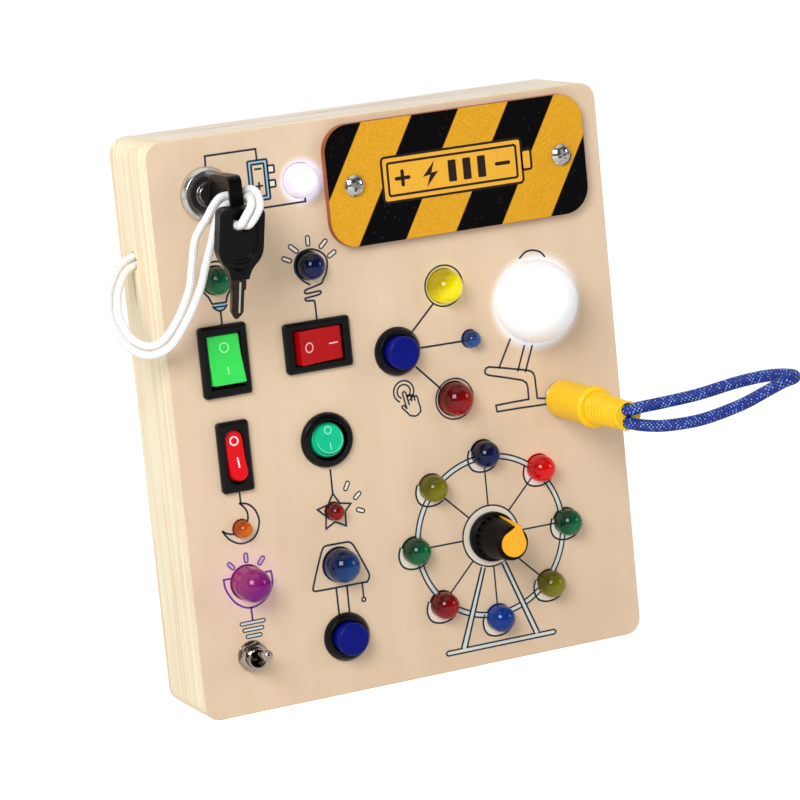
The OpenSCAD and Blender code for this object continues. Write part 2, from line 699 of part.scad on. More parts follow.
// Round circuit board behind the wheel, on the selector's pins and the lamps' leads
selector_pins = 8;
selector_pin_r = 5.5;
module wheel_board() color("darkgreen") on_panel(wheel_at) {
    difference() {
        rod(board_plate_d, board_plate_z - board_plate_t, board_plate_z);
        for (i = [0:7], s = [-1, 1])
            translate(wheel_lamp_at(i) - wheel_at + [s * lead_gap / 2, 0]) rod(lead_d + 0.2, -far / 10, 0);
        for (i = [0:selector_pins - 1]) rotate([0, 0, 360 / selector_pins * (i + 0.5)])
            translate([selector_pin_r, 0]) rod(1.2, -far / 10, 0);
    }
    translate([-13, -7, board_plate_z - board_plate_t - 1.8]) cube([4.4, 10, 1.8]);
    translate([9, 8, board_plate_z - board_plate_t - 1]) cube([3.2, 1.6, 1]);
    translate([9, 4, board_plate_z - board_plate_t - 1]) cube([3.2, 1.6, 1]);
    translate([-17, 9, board_plate_z - board_plate_t - 1]) cube([3.2, 1.6, 1]);
}

// ---------------------------------------------------------------- rocker switches

// kind is "square", "slim" or "round"
function open_size(kind) =
    kind == "square" ? rocker_open : kind == "slim" ? slim_open : [round_open_d, round_open_d];

module opening(kind, less) {
    size = open_size(kind);
    if (kind == "square") square([size[0] - 2 * less, size[1] - 2 * less], center = true);
    if (kind == "slim") stadium(size[0] - 2 * less, size[1] - 2 * less);
    if (kind == "round") circle(d = size[0] - 2 * less);
}

module rocker_housing(kind) {
    size = open_size(kind);
    w = kind == "square" ? rocker_w : kind == "slim" ? slim_w : round_d;
    difference() {
        union() {
            if (kind == "round") {
                rotate_extrude() polygon([
                    [0, 0], [round_d / 2, 0], [round_d / 2, bezel_h - 1.2],
                    [round_d / 2 - 0.5, bezel_h - 0.3], [round_d / 2 - 1.2, bezel_h], [0, bezel_h]
                ]);
                rod(round_body_d, -rocker_depth, 0.5);
            } else {
                bevel_slab(w, rocker_l, bezel_h, 0.7) round_rect(w, rocker_l, 1.2);
                slab(-rocker_depth, 0.5)
                    square([kind == "square" ? rocker_body_w : slim_body_w, rocker_body_l], center = true);
            }
        }
        slab(-paddle_cavity, far) opening(kind, 0);
        rotate([0, 90, 0]) translate([0, 0, -size[0] / 2 - paddle_pin_l])
            cylinder(d = paddle_pin_d + 2 * shaft_play, h = size[0] + 2 * paddle_pin_l);
    }
    for (s = [-1, 0, 1]) translate([-2.4, s * 6 - 0.4, -rocker_depth - 6]) cube([4.8, 0.8, 6.5]); // terminals
}

// The paddle rocks about its pin, a little in front of the panel's face; at rest its lower end stands out
module paddle(kind) {
    size = open_size(kind);
    half = size[1] / 2 - (kind == "round" ? 0.75 : 0.65);
    foot = half - 0.5;
    rotate([-rocker_tilt, 0, 0]) {
        intersection() {
            rotate([90, 0, 90]) translate([0, 0, -size[0]]) linear_extrude(2 * size[0]) polygon([
                [-half, paddle_crown], [0, paddle_dip], [half, paddle_crown],
                [foot, -paddle_foot], [-foot, -paddle_foot]
            ]);
            slab(-paddle_foot - 1, paddle_crown + 1) {
                if (kind == "square") square([size[0] - 2 * paddle_gap, 2 * half], center = true);
                if (kind == "slim") stadium(size[0] - 2 * paddle_gap, 2 * half);
                if (kind == "round") circle(half);
            }
        }
        rotate([0, 90, 0]) translate([0, 0, -size[0] / 2 - paddle_pin_l + 0.1])
            cylinder(d = paddle_pin_d, h = size[0] + 2 * paddle_pin_l - 0.2);
    }
}

module lying() on_panel(red_rocker_at) rotate([0, 0, -90]) children();

module green_rocker_housing() color("dimgray") on_panel(green_rocker_at) rocker_housing("square");
module green_rocker() color("lime") on_panel(green_rocker_at) paddle("square");
module red_rocker_housing() color("dimgray") lying() rocker_housing("square");
module red_rocker() color("red") lying() paddle("square");
module slim_rocker_housing() color("dimgray") on_panel(slim_rocker_at) rocker_housing("slim");
module slim_rocker() color("red") on_panel(slim_rocker_at) paddle("slim");
module round_rocker_housing() color("dimgray") on_panel(round_rocker_at) rocker_housing("round");
module round_rocker() color("mediumseagreen") on_panel(round_rocker_at) paddle("round");

// ---------------------------------------------------------------- push buttons

module button_housing() {
    bore_r = button_cap_d / 2 + hole_play;
    ring_r = button_ring_d / 2;
    difference() {
        rotate_extrude() polygon([
            [0, -button_depth], [button_body_d / 2, -button_depth], [button_body_d / 2, 0], [ring_r, 0],
            [ring_r, 0.7], [ring_r - 1, button_ring_h], [bore_r, button_ring_h], [bore_r, -button_floor],
            [0, -button_floor]
        ]);
        for (s = [-1, 1]) translate([s * 3, 0]) rod(0.8, -button_depth - 1, -button_depth + 1);
    }
    for (s = [-1, 1]) translate([s * 2.5 - 0.3, -1.2, -button_depth - 4]) cube([0.6, 2.4, 4.5]);
}

module button_housings() color("dimgray") for (at = [fan_at, low_button_at]) on_panel(at) button_housing();

module button_cap() {
    r = button_cap_d / 2;
    edge = 0.9;
    rotate_extrude() {
        translate([0, -2]) square([r, button_cap_h + 2 - edge]);
        translate([0, -2]) square([r - edge, button_cap_h + 2]);
        translate([r - edge, button_cap_h - edge]) circle(edge);
        translate([0, -button_floor + button_travel + 0.4]) square([2.2, button_floor]);
    }
}

module centre_button_cap() color("blue") on_panel(fan_at) button_cap();
module low_button_cap() color("blue") on_panel(low_button_at) button_cap();

// ---------------------------------------------------------------- toggle switch

ball_r = 2.1;
toggle_body_w = 8;
toggle_body_l = 13;
toggle_body_t = 9;

module toggle_body() color("silver") on_panel(toggle_at) {
    mouth_r = bush_d / 2 - 0.4;
    difference() {
        union() {
            slab(-panel_t - toggle_body_t, -panel_t) square([toggle_body_w, toggle_body_l], center = true);
            rod(bush_d, -panel_t - 1, bush_l);
        }
        rotate_extrude() polygon([
            [0, -ball_r - 0.8], [ball_r + shaft_play, -ball_r - 0.8], [ball_r + shaft_play, 1.2],
            [mouth_r, bush_l - 0.6], [mouth_r, bush_l + 1], [0, bush_l + 1]
        ]);
    }
    for (h = [-1, 0, 1]) translate([-1, h * toggle_body_l * 0.31 - 0.4, -panel_t - toggle_body_t - 4])
        cube([2, 0.8, 4.5]);
}

module toggle_lever() color("silver") on_panel(toggle_at) rotate([-lever_tilt, 0, 0]) rotate_extrude() {
    intersection() {
        circle(ball_r);
        translate([0, -ball_r]) square([ball_r, 2 * ball_r]);
    }
    polygon([[0, 0], [1.0, 1], [1.1, 5], [1.35, lever_l - 2.6], [1.2, lever_l - 1], [0, lever_l - 1]]);
    intersection() {
        translate([0, lever_l - 1.6]) circle(1.6);
        translate([0, lever_l - 3.2]) square([1.6, 3.2]);
    }
}

module behind_panel(at) on_panel(at) translate([0, 0, -panel_t]) mirror([0, 0, 1]) children();

// Every ring and hexagon nut that holds a fitting to the panel
module mounting_nuts() color("silver") {
    behind_panel(lock_at) hex_nut(lock_nut_af, lock_barrel_d, nut_t);
    for (at = [fan_at, low_button_at]) behind_panel(at) hex_nut(button_nut_af, button_body_d, nut_t);
    behind_panel(jack_at) hex_nut(jack_nut_af, jack_body_d, jack_nut_t);
    on_panel(toggle_at) {
        difference() {
            rod(washer_d, 0, washer_t);
            rod(bush_d + 2 * hole_play, -1, 1);
        }
        translate([0, 0, washer_t]) rotate([0, 0, 12]) hex_nut(bush_nut_af, bush_d, bush_nut_t);
    }
    on_panel(wheel_at) hex_nut(selector_nut_af, selector_bush_d, selector_nut_t);
}

// ---------------------------------------------------------------- selector and knob

module selector_switch() color("silver") on_panel(wheel_at) {
    difference() {
        union() {
            rod(selector_body_d, -panel_t - selector_body_t, -panel_t);
            rod(selector_bush_d, -panel_t - 1, selector_nut_t + 0.6);
        }
        rod(shaft_d + 2 * shaft_play, -panel_t - 3, far / 10);
    }
    for (i = [0:selector_pins - 1]) rotate([0, 0, 360 / selector_pins * (i + 0.5)])
        translate([selector_pin_r, 0]) rod(1, board_plate_z - board_plate_t - 1.4, -panel_t - 1);
}

knob_foot = 0.6;      // gap under the knob
skirt_t = 2.6;
knob_top = knob_h - 1; // top of the fluted body
body_r = knob_d / 2 - 1.1;
top_r = knob_d / 2 - 2.9;
pointer_r = 3.9;
pointer_tip = top_r + 1.4;
shaft_top = knob_top - 2.4;
fin_w = 1.6;
flute_r = 0.7;
knob_well_r = 6; // room for the nut inside the skirt

module selector_shaft() color("silver") on_panel(wheel_at) rod(shaft_d, -panel_t - 2.8, shaft_top);

// Round cap whose tip points outwards, with a fin down the knob's side
module pointer_outline() {
    a = acos(pointer_r / pointer_tip);
    circle(pointer_r);
    polygon([[0, 0], pointer_r * [-sin(a), cos(a)], [0, pointer_tip], pointer_r * [sin(a), cos(a)]]);
}

module pointer_shape() {
    slab(knob_top - 0.4, knob_h) pointer_outline();
    slab(knob_foot + skirt_t, knob_top)
        translate([-fin_w / 2, pointer_r - 0.4]) square([fin_w, body_r - pointer_r + 0.6]);
}

module turned() on_panel(wheel_at) rotate([0, 0, -pointer_angle]) children();

module selector_pointer() color("orange") turned() intersection() {
    pointer_shape();
    rotate_extrude() polygon([
        [0, 0], [body_r + 0.2, 0], [body_r + 0.2, knob_foot + skirt_t], [pointer_tip, knob_top],
        [pointer_tip - 0.4, knob_h], [0, knob_h]
    ]);
}

module selector_knob() color("dimgray") turned() difference() {
    union() {
        rotate_extrude() polygon([
            [0, knob_foot], [knob_d / 2, knob_foot], [knob_d / 2, knob_foot + skirt_t - 0.8],
            [knob_d / 2 - 0.9, knob_foot + skirt_t], [0, knob_foot + skirt_t]
        ]);
        intersection() {
            slab(knob_foot + 1, knob_top) difference() {
                circle(body_r);
                for (i = [0:flutes - 1]) rotate(360 / flutes * (i + 0.5))
                    translate([body_r + flute_r - 0.45, 0]) circle(flute_r, $fn = 16);
            }
            rotate_extrude() polygon([
                [0, 0], [body_r + 0.1, 0], [body_r + 0.1, knob_foot + skirt_t], [top_r + 0.5, knob_top - 0.5],
                [top_r, knob_top], [0, knob_top]
            ]);
        }
    }
    rod(2 * knob_well_r, -1, selector_nut_t + 1.4);
    rod(shaft_d + 2 * fit_play, 0, shaft_top);
    pointer_shape();
}

// ---------------------------------------------------------------- socket and pull plug

module jack_socket() color("silver") on_panel(jack_at) {
    difference() {
        rotate_extrude() polygon([
            [0, -jack_depth], [jack_body_d / 2, -jack_depth], [jack_body_d / 2, 0], [jack_flange_d / 2, 0],
            [jack_flange_d / 2, jack_flange_t], [jack_sleeve_d / 2, jack_flange_t],
            [jack_sleeve_d / 2, jack_sleeve_l - 0.4], [jack_sleeve_d / 2 - 0.4, jack_sleeve_l],
            [0, jack_sleeve_l]
        ]);
        rod(pin_d + 2 * shaft_play, -8, jack_sleeve_l + 1);
    }
    for (s = [-1, 1]) translate([s * 2.2 - 0.3, -1, -jack_depth - 4]) cube([0.6, 2, 4.5]);
}

shell_z = jack_flange_t + plug_gap;
well_z = jack_sleeve_l + 1.6;  // bottom of the plug's front well
contact_r = jack_sleeve_d / 2 + shaft_play;
well_r = contact_r + 0.8;
collar_l = 3.5;
relief_r = 4.9;
relief_end_r = 4.1;
mouth_l = 2;
pin_root = 6;  // part of the pin that is held in the shell
pin_reach = 5; // how far the pin goes behind the panel's face

// The relief tapers from the collar to the mouth, with a ring at every step
module relief_profile() {
    z0 = shell_l + collar_l;
    z1 = plug_l - mouth_l;
    step = (z1 - z0) / relief_rings;
    polygon(concat(
        [[0, z0 - 1], [relief_r, z0 - 1]],
        [for (i = [0:relief_rings - 1])
            let (r = relief_r + (relief_end_r - relief_r) * i / relief_rings, z = z0 + i * step)
            each [[r - 0.45, z], [r - 0.45, z + step * 0.3], [r, z + step * 0.45], [r, z + step * 0.85]]],
        [[relief_end_r - 0.3, z1], [relief_end_r + 0.3, z1 + 0.4], [relief_end_r + 0.3, plug_l - 0.5],
            [relief_end_r, plug_l], [0, plug_l]]
    ));
}

module plug_shell() color("gold") on_panel(jack_at) difference() {
    rotate_extrude() {
        polygon([
            [0, shell_z], [plug_d / 2 - 0.5, shell_z], [plug_d / 2, shell_z + 0.5], [plug_d / 2, shell_l],
            [collar_d / 2, shell_l + 0.4], [collar_d / 2, shell_l + collar_l - 0.8],
            [collar_d / 2 - 0.8, shell_l + collar_l], [0, shell_l + collar_l]
        ]);
        relief_profile();
    }
    rod(2 * well_r, 0, well_z);
    rod(pin_d, 0, well_z + pin_root);
    for (s = [-1, 1]) translate([0, s * mouth_pitch / 2]) rod(loop_d + 0.2, plug_l - mouth_depth, plug_l + 1);
}

module plug_contacts() color("silver") on_panel(jack_at) {
    difference() {
        rod(2 * well_r, shell_z + 0.4, well_z);
        rod(2 * contact_r, 0, well_z + 1);
    }
    rotate_extrude() polygon([
        [0, -pin_reach], [pin_d / 2 - 0.8, -pin_reach], [pin_d / 2, 1.4 - pin_reach],
        [pin_d / 2, well_z + pin_root], [0, well_z + pin_root]
    ]);
}

// ---------------------------------------------------------------- cords

function unit(v) = v / norm(v);

function directions(p) = [for (i = [0:len(p) - 1]) unit(p[min(i + 1, len(p) - 1)] - p[max(i - 1, 0)])];

// Side directions carried along the curve without twist
function sides(t, i, n) = let (s = unit(n - (n * t[i]) * t[i]))
    i == len(t) - 1 ? [s] : concat([s], sides(t, i + 1, s));

module tube(p, d, around) {
    t = directions(p);
    n = sides(t, 0, [0.1, 0.2, 1]);
    rings = len(p);
    points = [for (i = [0:rings - 1], k = [0:around - 1]) let (a = 360 * k / around)
        p[i] + d / 2 * (cos(a) * n[i] + sin(a) * cross(t[i], n[i]))];
    skin = [for (i = [0:rings - 2], k = [0:around - 1]) let (j = (k + 1) % around)
        each [[i * around + k, (i + 1) * around + k, i * around + j],
            [i * around + j, (i + 1) * around + k, (i + 1) * around + j]]];
    ends = [[for (k = [0:around - 1]) k], [for (k = [0:around - 1]) rings * around - 1 - k]];
    polyhedron(points, concat(skin, ends));
}

// The key cord is doubled: both strands run from the knot inside the case, out of the left
// rail, up behind the keys, through the main key's ring hole, round and down through the
// spare key's hole to the knot behind it
cord_strand_1 = [
    [-63.6, 4, 133.8], [-68, 4, 133.8], [-71.6, 3.8, 133.8], [-75, 1.8, 132.8], [-77.8, -1, 131],
    [-81.7, -6.5, 126.9], [-83.7, -11.9, 121.5], [-82.5, -16.7, 116.1], [-79.2, -20.3, 113.7],
    [-75.6, -23.5, 115], [-71.5, -27, 121.3], [-68.4, -30, 129.6], [-67.7, -32.2, 136.1],
    [-66.7, -33.8, 143], [-65.2, -34.9, 146.4], [-63, -35.4, 149.2], [-60.9, -35.3, 152],
    [-58.6, -34.9, 154.1], [-56.6, -34.65, 154.6], [-54.8, -34.6, 154.65], [-52.6, -34.7, 154.8],
    [-50.7, -35.6, 155.3], [-49.8, -37.6, 155.8], [-49.6, -40.7, 155.2], [-50.2, -44, 153.9], [-51.4, -47.1, 151.8], [-53.2, -47.5, 149.2],
    [-54.7, -46.9, 147.4], [-55, -44.9, 146.8], [-55, -42.3, 147], [-55, -40, 146.7],
    [-55.3, -38.1, 145.1], [-55.4, -36.7, 142.9]
];
cord_strand_2 = [
    [-63.6, 4, 136.3], [-68, 4, 136.3], [-72, 4, 136.2], [-76, 2.8, 134.9], [-79.8, 0, 132],
    [-84, -5.5, 127.1], [-86, -11.1, 120.8], [-84.3, -16.3, 114.4], [-79.8, -20.8, 111.1],
    [-74.3, -24.5, 113], [-69.7, -28, 119.9], [-65.9, -31, 128.4], [-63.9, -32.6, 135.3],
    [-61.8, -34.3, 142.5], [-60.6, -35.2, 147], [-59.2, -35.2, 150.4], [-57, -34.8, 152.1],
    [-54.8, -34.6, 152.35], [-52.6, -34.9, 152.5], [-51.3, -36.3, 153], [-51.2, -38.6, 153.9],
    [-51.7, -41.5, 154.2], [-52.7, -44.4, 153.8],
    [-54, -47.4, 152.4], [-55.9, -47.9, 150], [-57.3, -47.1, 147.8], [-57.4, -44.9, 147.1],
    [-57.4, -42.3, 147.3], [-57.5, -40.1, 147], [-57.6, -38.1, 145.4], [-57.8, -36.7, 143.1]
];

module key_cord() color("white") by_lock() {
    tube(cord_strand_1, cord_d, 8);
    tube(cord_strand_2, cord_d, 8);
}

// A stopper knot: a fat barrel with round ends, its axis along z
module knot(d, l) rotate_extrude() intersection() {
    translate([0, -l / 2]) square([d / 2, l]);
    union() {
        for (s = [-1, 1]) translate([d / 4, s * (l / 2 - d / 4)]) circle(d / 4);
        translate([0, -l / 2]) square([d / 4, l]);
        translate([0, -l / 2 + d / 4]) square([d / 2, l - d / 2]);
    }
}

key_knot_at = [-56.6, -36, 140.2];
module key_knot() color("white") by_lock() translate(key_knot_at) knot(5.8, 6.4);

module inner_knot() color("white")
    translate([-board_w / 2 + rail_t + 3.5, cord_bore_at[0], cord_bore_at[1]])
        rotate([0, 90, 0]) knot(7.6, 6.2);

// The pull cord leaves the plug's mouth, makes one loop and goes back in
loop_route = [
    [51.6, -54, 78.6], [51.6, -59, 78.6], [54, -63, 79.6], [59.5, -67, 80.6], [67, -74, 82.6],
    [74.3, -82, 85.6], [79.6, -88, 87.3], [83, -93, 88], [84.4, -98, 88.2], [82.5, -102, 88.2],
    [78.5, -102.5, 87.6], [74.5, -99, 85], [70.5, -91, 80.8], [64.5, -79, 76.2],
    [58, -69, 74.2], [53.2, -63.5, 74.4], [51.6, -59, 74.8], [51.6, -54, 74.8]
];
module plug_loop() color("royalblue") by_jack() tube(loop_route, loop_d, 8);

// ---------------------------------------------------------------- drawing

front_panel();
frame_left();
frame_right();
frame_rails();
back_panel();
screws();
battery_cover();
battery_tray();
batteries();
battery_contacts();
lock_body();
lock_core();
main_key_blade();
main_key_head();
spare_key_blade();
spare_key_head();
key_cord();
key_knot();
inner_knot();
lock_lamp();
green_lamp();
blue_lamp();
moon_lamp();
star_lamp();
purple_lamp();
shade_lamp();
yellow_lamp();
red_lamp();
small_blue_lamp();
globe_cover();
globe_base();
wheel_lamps_blue();
wheel_lamps_green();
wheel_lamps_olive();
wheel_lamp_red();
wheel_lamp_lit();
wheel_board();
green_rocker_housing();
green_rocker();
red_rocker_housing();
red_rocker();
slim_rocker_housing();
slim_rocker();
round_rocker_housing();
round_rocker();
button_housings();
centre_button_cap();
low_button_cap();
toggle_body();
toggle_lever();
mounting_nuts();
selector_switch();
selector_shaft();
selector_knob();
selector_pointer();
jack_socket();
plug_shell();
plug_contacts();
plug_loop();
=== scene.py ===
# %% [markdown]
# # A wooden busy board
# A small upright box of pale wood whose front carries lamps, switches, a key switch with two keys,
# a selector knob in a wheel of lamps, and a pull plug. The solids come from the CAD frame. This
# lesson dresses them: it softens their edges, adds cords, print and markings as surfaces worked
# out with numpy, and gives every piece a material made of nodes.

# %% Load the frame
import json
import math
import bmesh
import bpy
import numpy as np
from mathutils import Matrix, Vector

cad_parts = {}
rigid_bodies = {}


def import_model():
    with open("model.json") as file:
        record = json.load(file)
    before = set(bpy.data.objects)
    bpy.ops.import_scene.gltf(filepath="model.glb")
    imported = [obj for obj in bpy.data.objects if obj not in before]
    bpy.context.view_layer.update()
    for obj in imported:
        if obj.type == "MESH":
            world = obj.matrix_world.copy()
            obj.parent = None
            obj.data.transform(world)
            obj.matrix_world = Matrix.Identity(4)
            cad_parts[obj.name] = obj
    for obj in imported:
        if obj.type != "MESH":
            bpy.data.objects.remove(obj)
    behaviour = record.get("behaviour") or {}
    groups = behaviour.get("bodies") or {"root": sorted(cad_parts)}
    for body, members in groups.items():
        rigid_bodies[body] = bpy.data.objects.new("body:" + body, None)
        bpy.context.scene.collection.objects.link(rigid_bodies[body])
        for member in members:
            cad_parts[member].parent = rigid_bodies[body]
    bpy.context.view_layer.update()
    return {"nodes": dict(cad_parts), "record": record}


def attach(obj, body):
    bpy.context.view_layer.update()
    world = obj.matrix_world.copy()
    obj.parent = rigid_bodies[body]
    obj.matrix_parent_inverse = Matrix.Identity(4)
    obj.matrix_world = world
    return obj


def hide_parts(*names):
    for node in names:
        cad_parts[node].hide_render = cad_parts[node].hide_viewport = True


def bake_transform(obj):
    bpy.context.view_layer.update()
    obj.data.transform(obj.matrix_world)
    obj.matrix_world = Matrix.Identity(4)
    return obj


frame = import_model()
nodes = frame["nodes"]
MM = 0.001       # a millimetre, in metres
FACE_Y = -15.0   # the panel's face, in millimetres
MID_Z = 85.0     # the middle of the panel's height
print("loaded", len(nodes), "nodes")

# %% [markdown]
# ## The camera
# A camera is placed by three directions of its own: right, up and the way it looks. Writing them
# as the columns of its matrix sets its place and turn in one step, which is exact, where aiming
# it by angles would leave the roll to chance. It stands a metre away, to the left and a little above.

# %% Camera
def linked(name, data):
    """An object for this data, in the scene's own collection."""
    thing = bpy.data.objects.new(name, data)
    bpy.context.scene.collection.objects.link(thing)
    return thing


right = Vector((0.90565, -0.41288, -0.09655)).normalized()
ahead = Vector((0.39270, 0.90260, -0.17635)).normalized()
up = right.cross(ahead).normalized()
spot = Vector((-0.41250, -0.96118, 0.26948))
camera_data = bpy.data.cameras.new("camera")
camera_data.lens = 159.83
camera_data.sensor_width = 36
camera = linked("camera", camera_data)
camera.matrix_world = Matrix.Translation(spot) @ Matrix((right, up, -ahead)).transposed().to_4x4()
bpy.context.scene.camera = camera
print("camera stands", round(spot.length, 3), "m away")

# %% [markdown]
# ## Surfaces from arrays
# Every new piece is a grid of points: row u and column v of one array. Four neighbours make a
# quad, so one line of index arithmetic lists all faces at once. Where a grid runs round and
# meets itself it wraps, and rows that shrink to a point are merged, so poles and seams close.

# %% Meshes from grids
ONE_POINT = 1e-7           # points nearer than this, in metres, are merged
CREASE = math.radians(38)  # an edge that turns by more than this stays sharp


def mesh_object(name, points, faces, uv=None):
    """A mesh of points in millimetres; doubles merge and the faces turn outwards."""
    mesh = bpy.data.meshes.new(name)
    mesh.from_pydata((np.asarray(points, float).reshape(-1, 3) * MM).tolist(), [], faces)
    if uv is not None:
        corner = np.empty(len(mesh.loops), dtype=np.int32)
        mesh.loops.foreach_get("vertex_index", corner)
        layer = mesh.uv_layers.new(name="UVMap")
        layer.data.foreach_set("uv", np.asarray(uv, np.float32).reshape(-1, 2)[corner].ravel())
    bm = bmesh.new()
    bm.from_mesh(mesh)
    bmesh.ops.remove_doubles(bm, verts=bm.verts, dist=ONE_POINT)
    bmesh.ops.recalc_face_normals(bm, faces=bm.faces)
    bm.to_mesh(mesh)
    bm.free()
    mesh.shade_smooth()
    mesh.set_sharp_from_angle(angle=CREASE)
    return linked(name, mesh)


def quads(rows, columns, wrap_u=False, wrap_v=False):
    """The quad of corner (u, v) joins (u, v), (u + 1, v), (u + 1, v + 1) and (u, v + 1)."""
    u, v = np.meshgrid(
        np.arange(rows if wrap_u else rows - 1),
        np.arange(columns if wrap_v else columns - 1), indexing="ij")
    corner = lambda a, b: (a % rows) * columns + b % columns
    return np.stack([corner(u, v), corner(u + 1, v), corner(u + 1, v + 1), corner(u, v + 1)],
                    -1).reshape(-1, 4)


def surface(name, points, wrap_u=False, wrap_v=False, uv=None):
    """Point (u, v) is points[u, v]; a wrapped direction joins its last row to its first."""
    rows, columns = points.shape[:2]
    return mesh_object(name, points, quads(rows, columns, wrap_u, wrap_v).tolist(), uv)


print("a grid of 3 by 4 points has", len(quads(3, 4)), "faces, and", len(quads(3, 4, wrap_v=True)), "when it wraps")

# %% [markdown]
# ## Curves and tubes
# Cords and outlines are known by a few measured points. A curve that passes through them keeps
# those numbers easy to read, where the handles of a spline would not lie on it, and even steps of
# its length keep a braid's pattern even. A tube carries a circle along the curve. Its side is
# handed on from ring to ring, because a fixed one would spin where the curve turns.

# %% Curves and tubes
SPAN_STEPS = 24   # points worked out between two neighbours


def smooth_line(points, count=60, closed=False):
    """Catmull-Rom curve: each span is a cubic whose end slopes run between the neighbours'
    points; it is then read at even steps of its length."""
    p = np.asarray(points, float)
    before, after = ([p[-1]], [p[0], p[1]]) if closed else ([2 * p[0] - p[1]], [2 * p[-1] - p[-2]])
    ring = np.vstack([*before, p, *after])
    a, b, c, d = (e[:, None, :] for e in (ring[:-3], ring[1:-2], ring[2:-1], ring[3:]))
    t = np.linspace(0, 1, SPAN_STEPS, endpoint=False)[None, :, None]
    curve = 0.5 * (2 * b + (c - a) * t + (2 * a - 5 * b + 4 * c - d) * t ** 2 + (3 * b - a - 3 * c + d) * t ** 3)
    curve = np.vstack([curve.reshape(-1, p.shape[1]), p[:1] if closed else p[-1:]])
    along = distances(curve)
    at = np.linspace(0, along[-1], count, endpoint=not closed)
    return np.stack([np.interp(at, along, curve[:, k]) for k in range(p.shape[1])], -1)


def distances(path):
    """How far along the path each point is: the running sum of the steps' lengths."""
    return np.concatenate([[0], np.cumsum(np.linalg.norm(np.diff(path, axis=0), axis=1))])


def tube(name, path, radius, around, closed=False):
    """Point (u, v) = path(u) + radius(u, v) (cos v side + sin v other), where side is carried
    along the path without twist. Its UV is the length along and the share of a turn round."""
    n = len(path)
    ahead = np.roll(path, -1, 0) - np.roll(path, 1, 0)
    if not closed:
        ahead[0], ahead[-1] = path[1] - path[0], path[-1] - path[-2]
    ahead /= np.linalg.norm(ahead, axis=1)[:, None]
    side = np.empty_like(path)
    carried = np.cross(ahead[0], [0.3, 0.2, 1.0])
    for i in range(n):                      # one short step per ring, not per vertex
        carried = carried - ahead[i] * (carried @ ahead[i])
        carried /= np.linalg.norm(carried)
        side[i] = carried
    other = np.cross(ahead, side)
    v = np.linspace(0, 2 * math.pi, around, endpoint=False)
    along = distances(path)
    reach = radius(along[:, None], v[None, :]) * np.ones((n, around))
    turned_out = np.cos(v)[None, :, None] * side[:, None] + np.sin(v)[None, :, None] * other[:, None]
    points = path[:, None] + reach[..., None] * turned_out
    uv = np.stack([along[:, None] * np.ones(around), v[None, :] / (2 * math.pi) * np.ones((n, 1))], -1)
    if not closed:                          # both ends close on the path itself
        points = np.concatenate([np.repeat(path[:1, None], around, 1), points,
                                 np.repeat(path[-1:, None], around, 1)])
        uv = np.concatenate([uv[:1], uv, uv[-1:]])
    return surface(name, points, wrap_u=closed, wrap_v=True, uv=uv)


square = [(-1, -1), (1, -1), (1, 1), (-1, 1)]
print("a square of side 2 smooths to a ring", round(distances(smooth_line(square, 80, True))[-1], 2), "long")

# %% [markdown]
# ## Cords
# The keys hang on a doubled white cotton cord, and the plug has a loop of blue braid. A curve
# object with a round bevel would give smooth hoses. Here each cord is a tube whose radius
# swells where a strand of the braid lies on top, so light catches the plaiting.

# %% Braided tubes
def braid(radius, plaits, pitch, depth):
    """radius (1 - depth + depth h), h being the higher of two waves that wind opposite ways:
    cos(plaits/2 (v + 2 pi s / pitch)) and cos(plaits/2 (v - 2 pi s / pitch))."""
    def reach(s, v):
        turn = 2 * math.pi * s / pitch
        one, two = np.cos(plaits / 2 * (v + turn)), np.cos(plaits / 2 * (v - turn))
        return radius * (1 - depth + depth * np.maximum(one, two))
    return reach


def cord_piece(name, route, diameter, rings, around, **weave):
    """A braided tube along the smooth line through route; also gives that line."""
    path = smooth_line(route, rings)
    piece = tube(name, path, braid(diameter / 2, **weave), around)
    print(name, round(distances(path)[-1], 1), "mm long,", len(piece.data.polygons), "faces")
    return piece, path


def declare(path, node):
    """Hides the node that the cord stands for; the cord's start is worked out in metres but not kept."""
    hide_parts(node)
    path[0] * MM


print("a cord 2 mm thick is", round(2 * float(braid(1, 12, 6.0, 0.1)(0, math.pi / 6)), 2), "mm in its grooves")

# %% [markdown]
# ## The pull cord's loop
# A child pulls the plug by a blue braid that leaves its mouth, swings out in a soft loop and comes
# back. Both ends lie in the mouth, one over the other. A circle bent to fit would not leave the
# mouth straight, so the route is a list of points in space from one end to the other.

# %% The pull cord's loop
loop_route = [
    (51.6, -54, 78.6), (51.6, -59, 78.6), (54, -63, 79.6), (59.5, -67, 80.6), (67, -74, 82.6),
    (74.3, -82, 85.6), (79.6, -88, 87.3), (83, -93, 88), (84.4, -98, 88.2), (82.5, -102, 88.2),
    (78.5, -102.5, 87.6), (74.5, -99, 85), (70.5, -91, 80.8), (64.5, -79, 76.2),
    (58, -69, 74.2), (53.2, -63.5, 74.4), (51.6, -59, 74.8), (51.6, -54, 74.8)]
LOOP_D, STRAND_D = 3.6, 2.4   # thickness of the two cords, in millimetres
loop, loop_path = cord_piece("pull_loop", loop_route, LOOP_D, rings=760, around=36, plaits=18, pitch=9.5, depth=0.08)
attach(loop, "plug")
declare(loop_path, "plug_loop")

# %% [markdown]
# ## Knots
# A knot is the same tube along a trefoil, the curve that a simple overhand knot follows when its
# ends are pushed together. Its three lobes read as turns of cord pulled tight, and it costs one
# formula, where a knot tied by hand would need dozens of points.

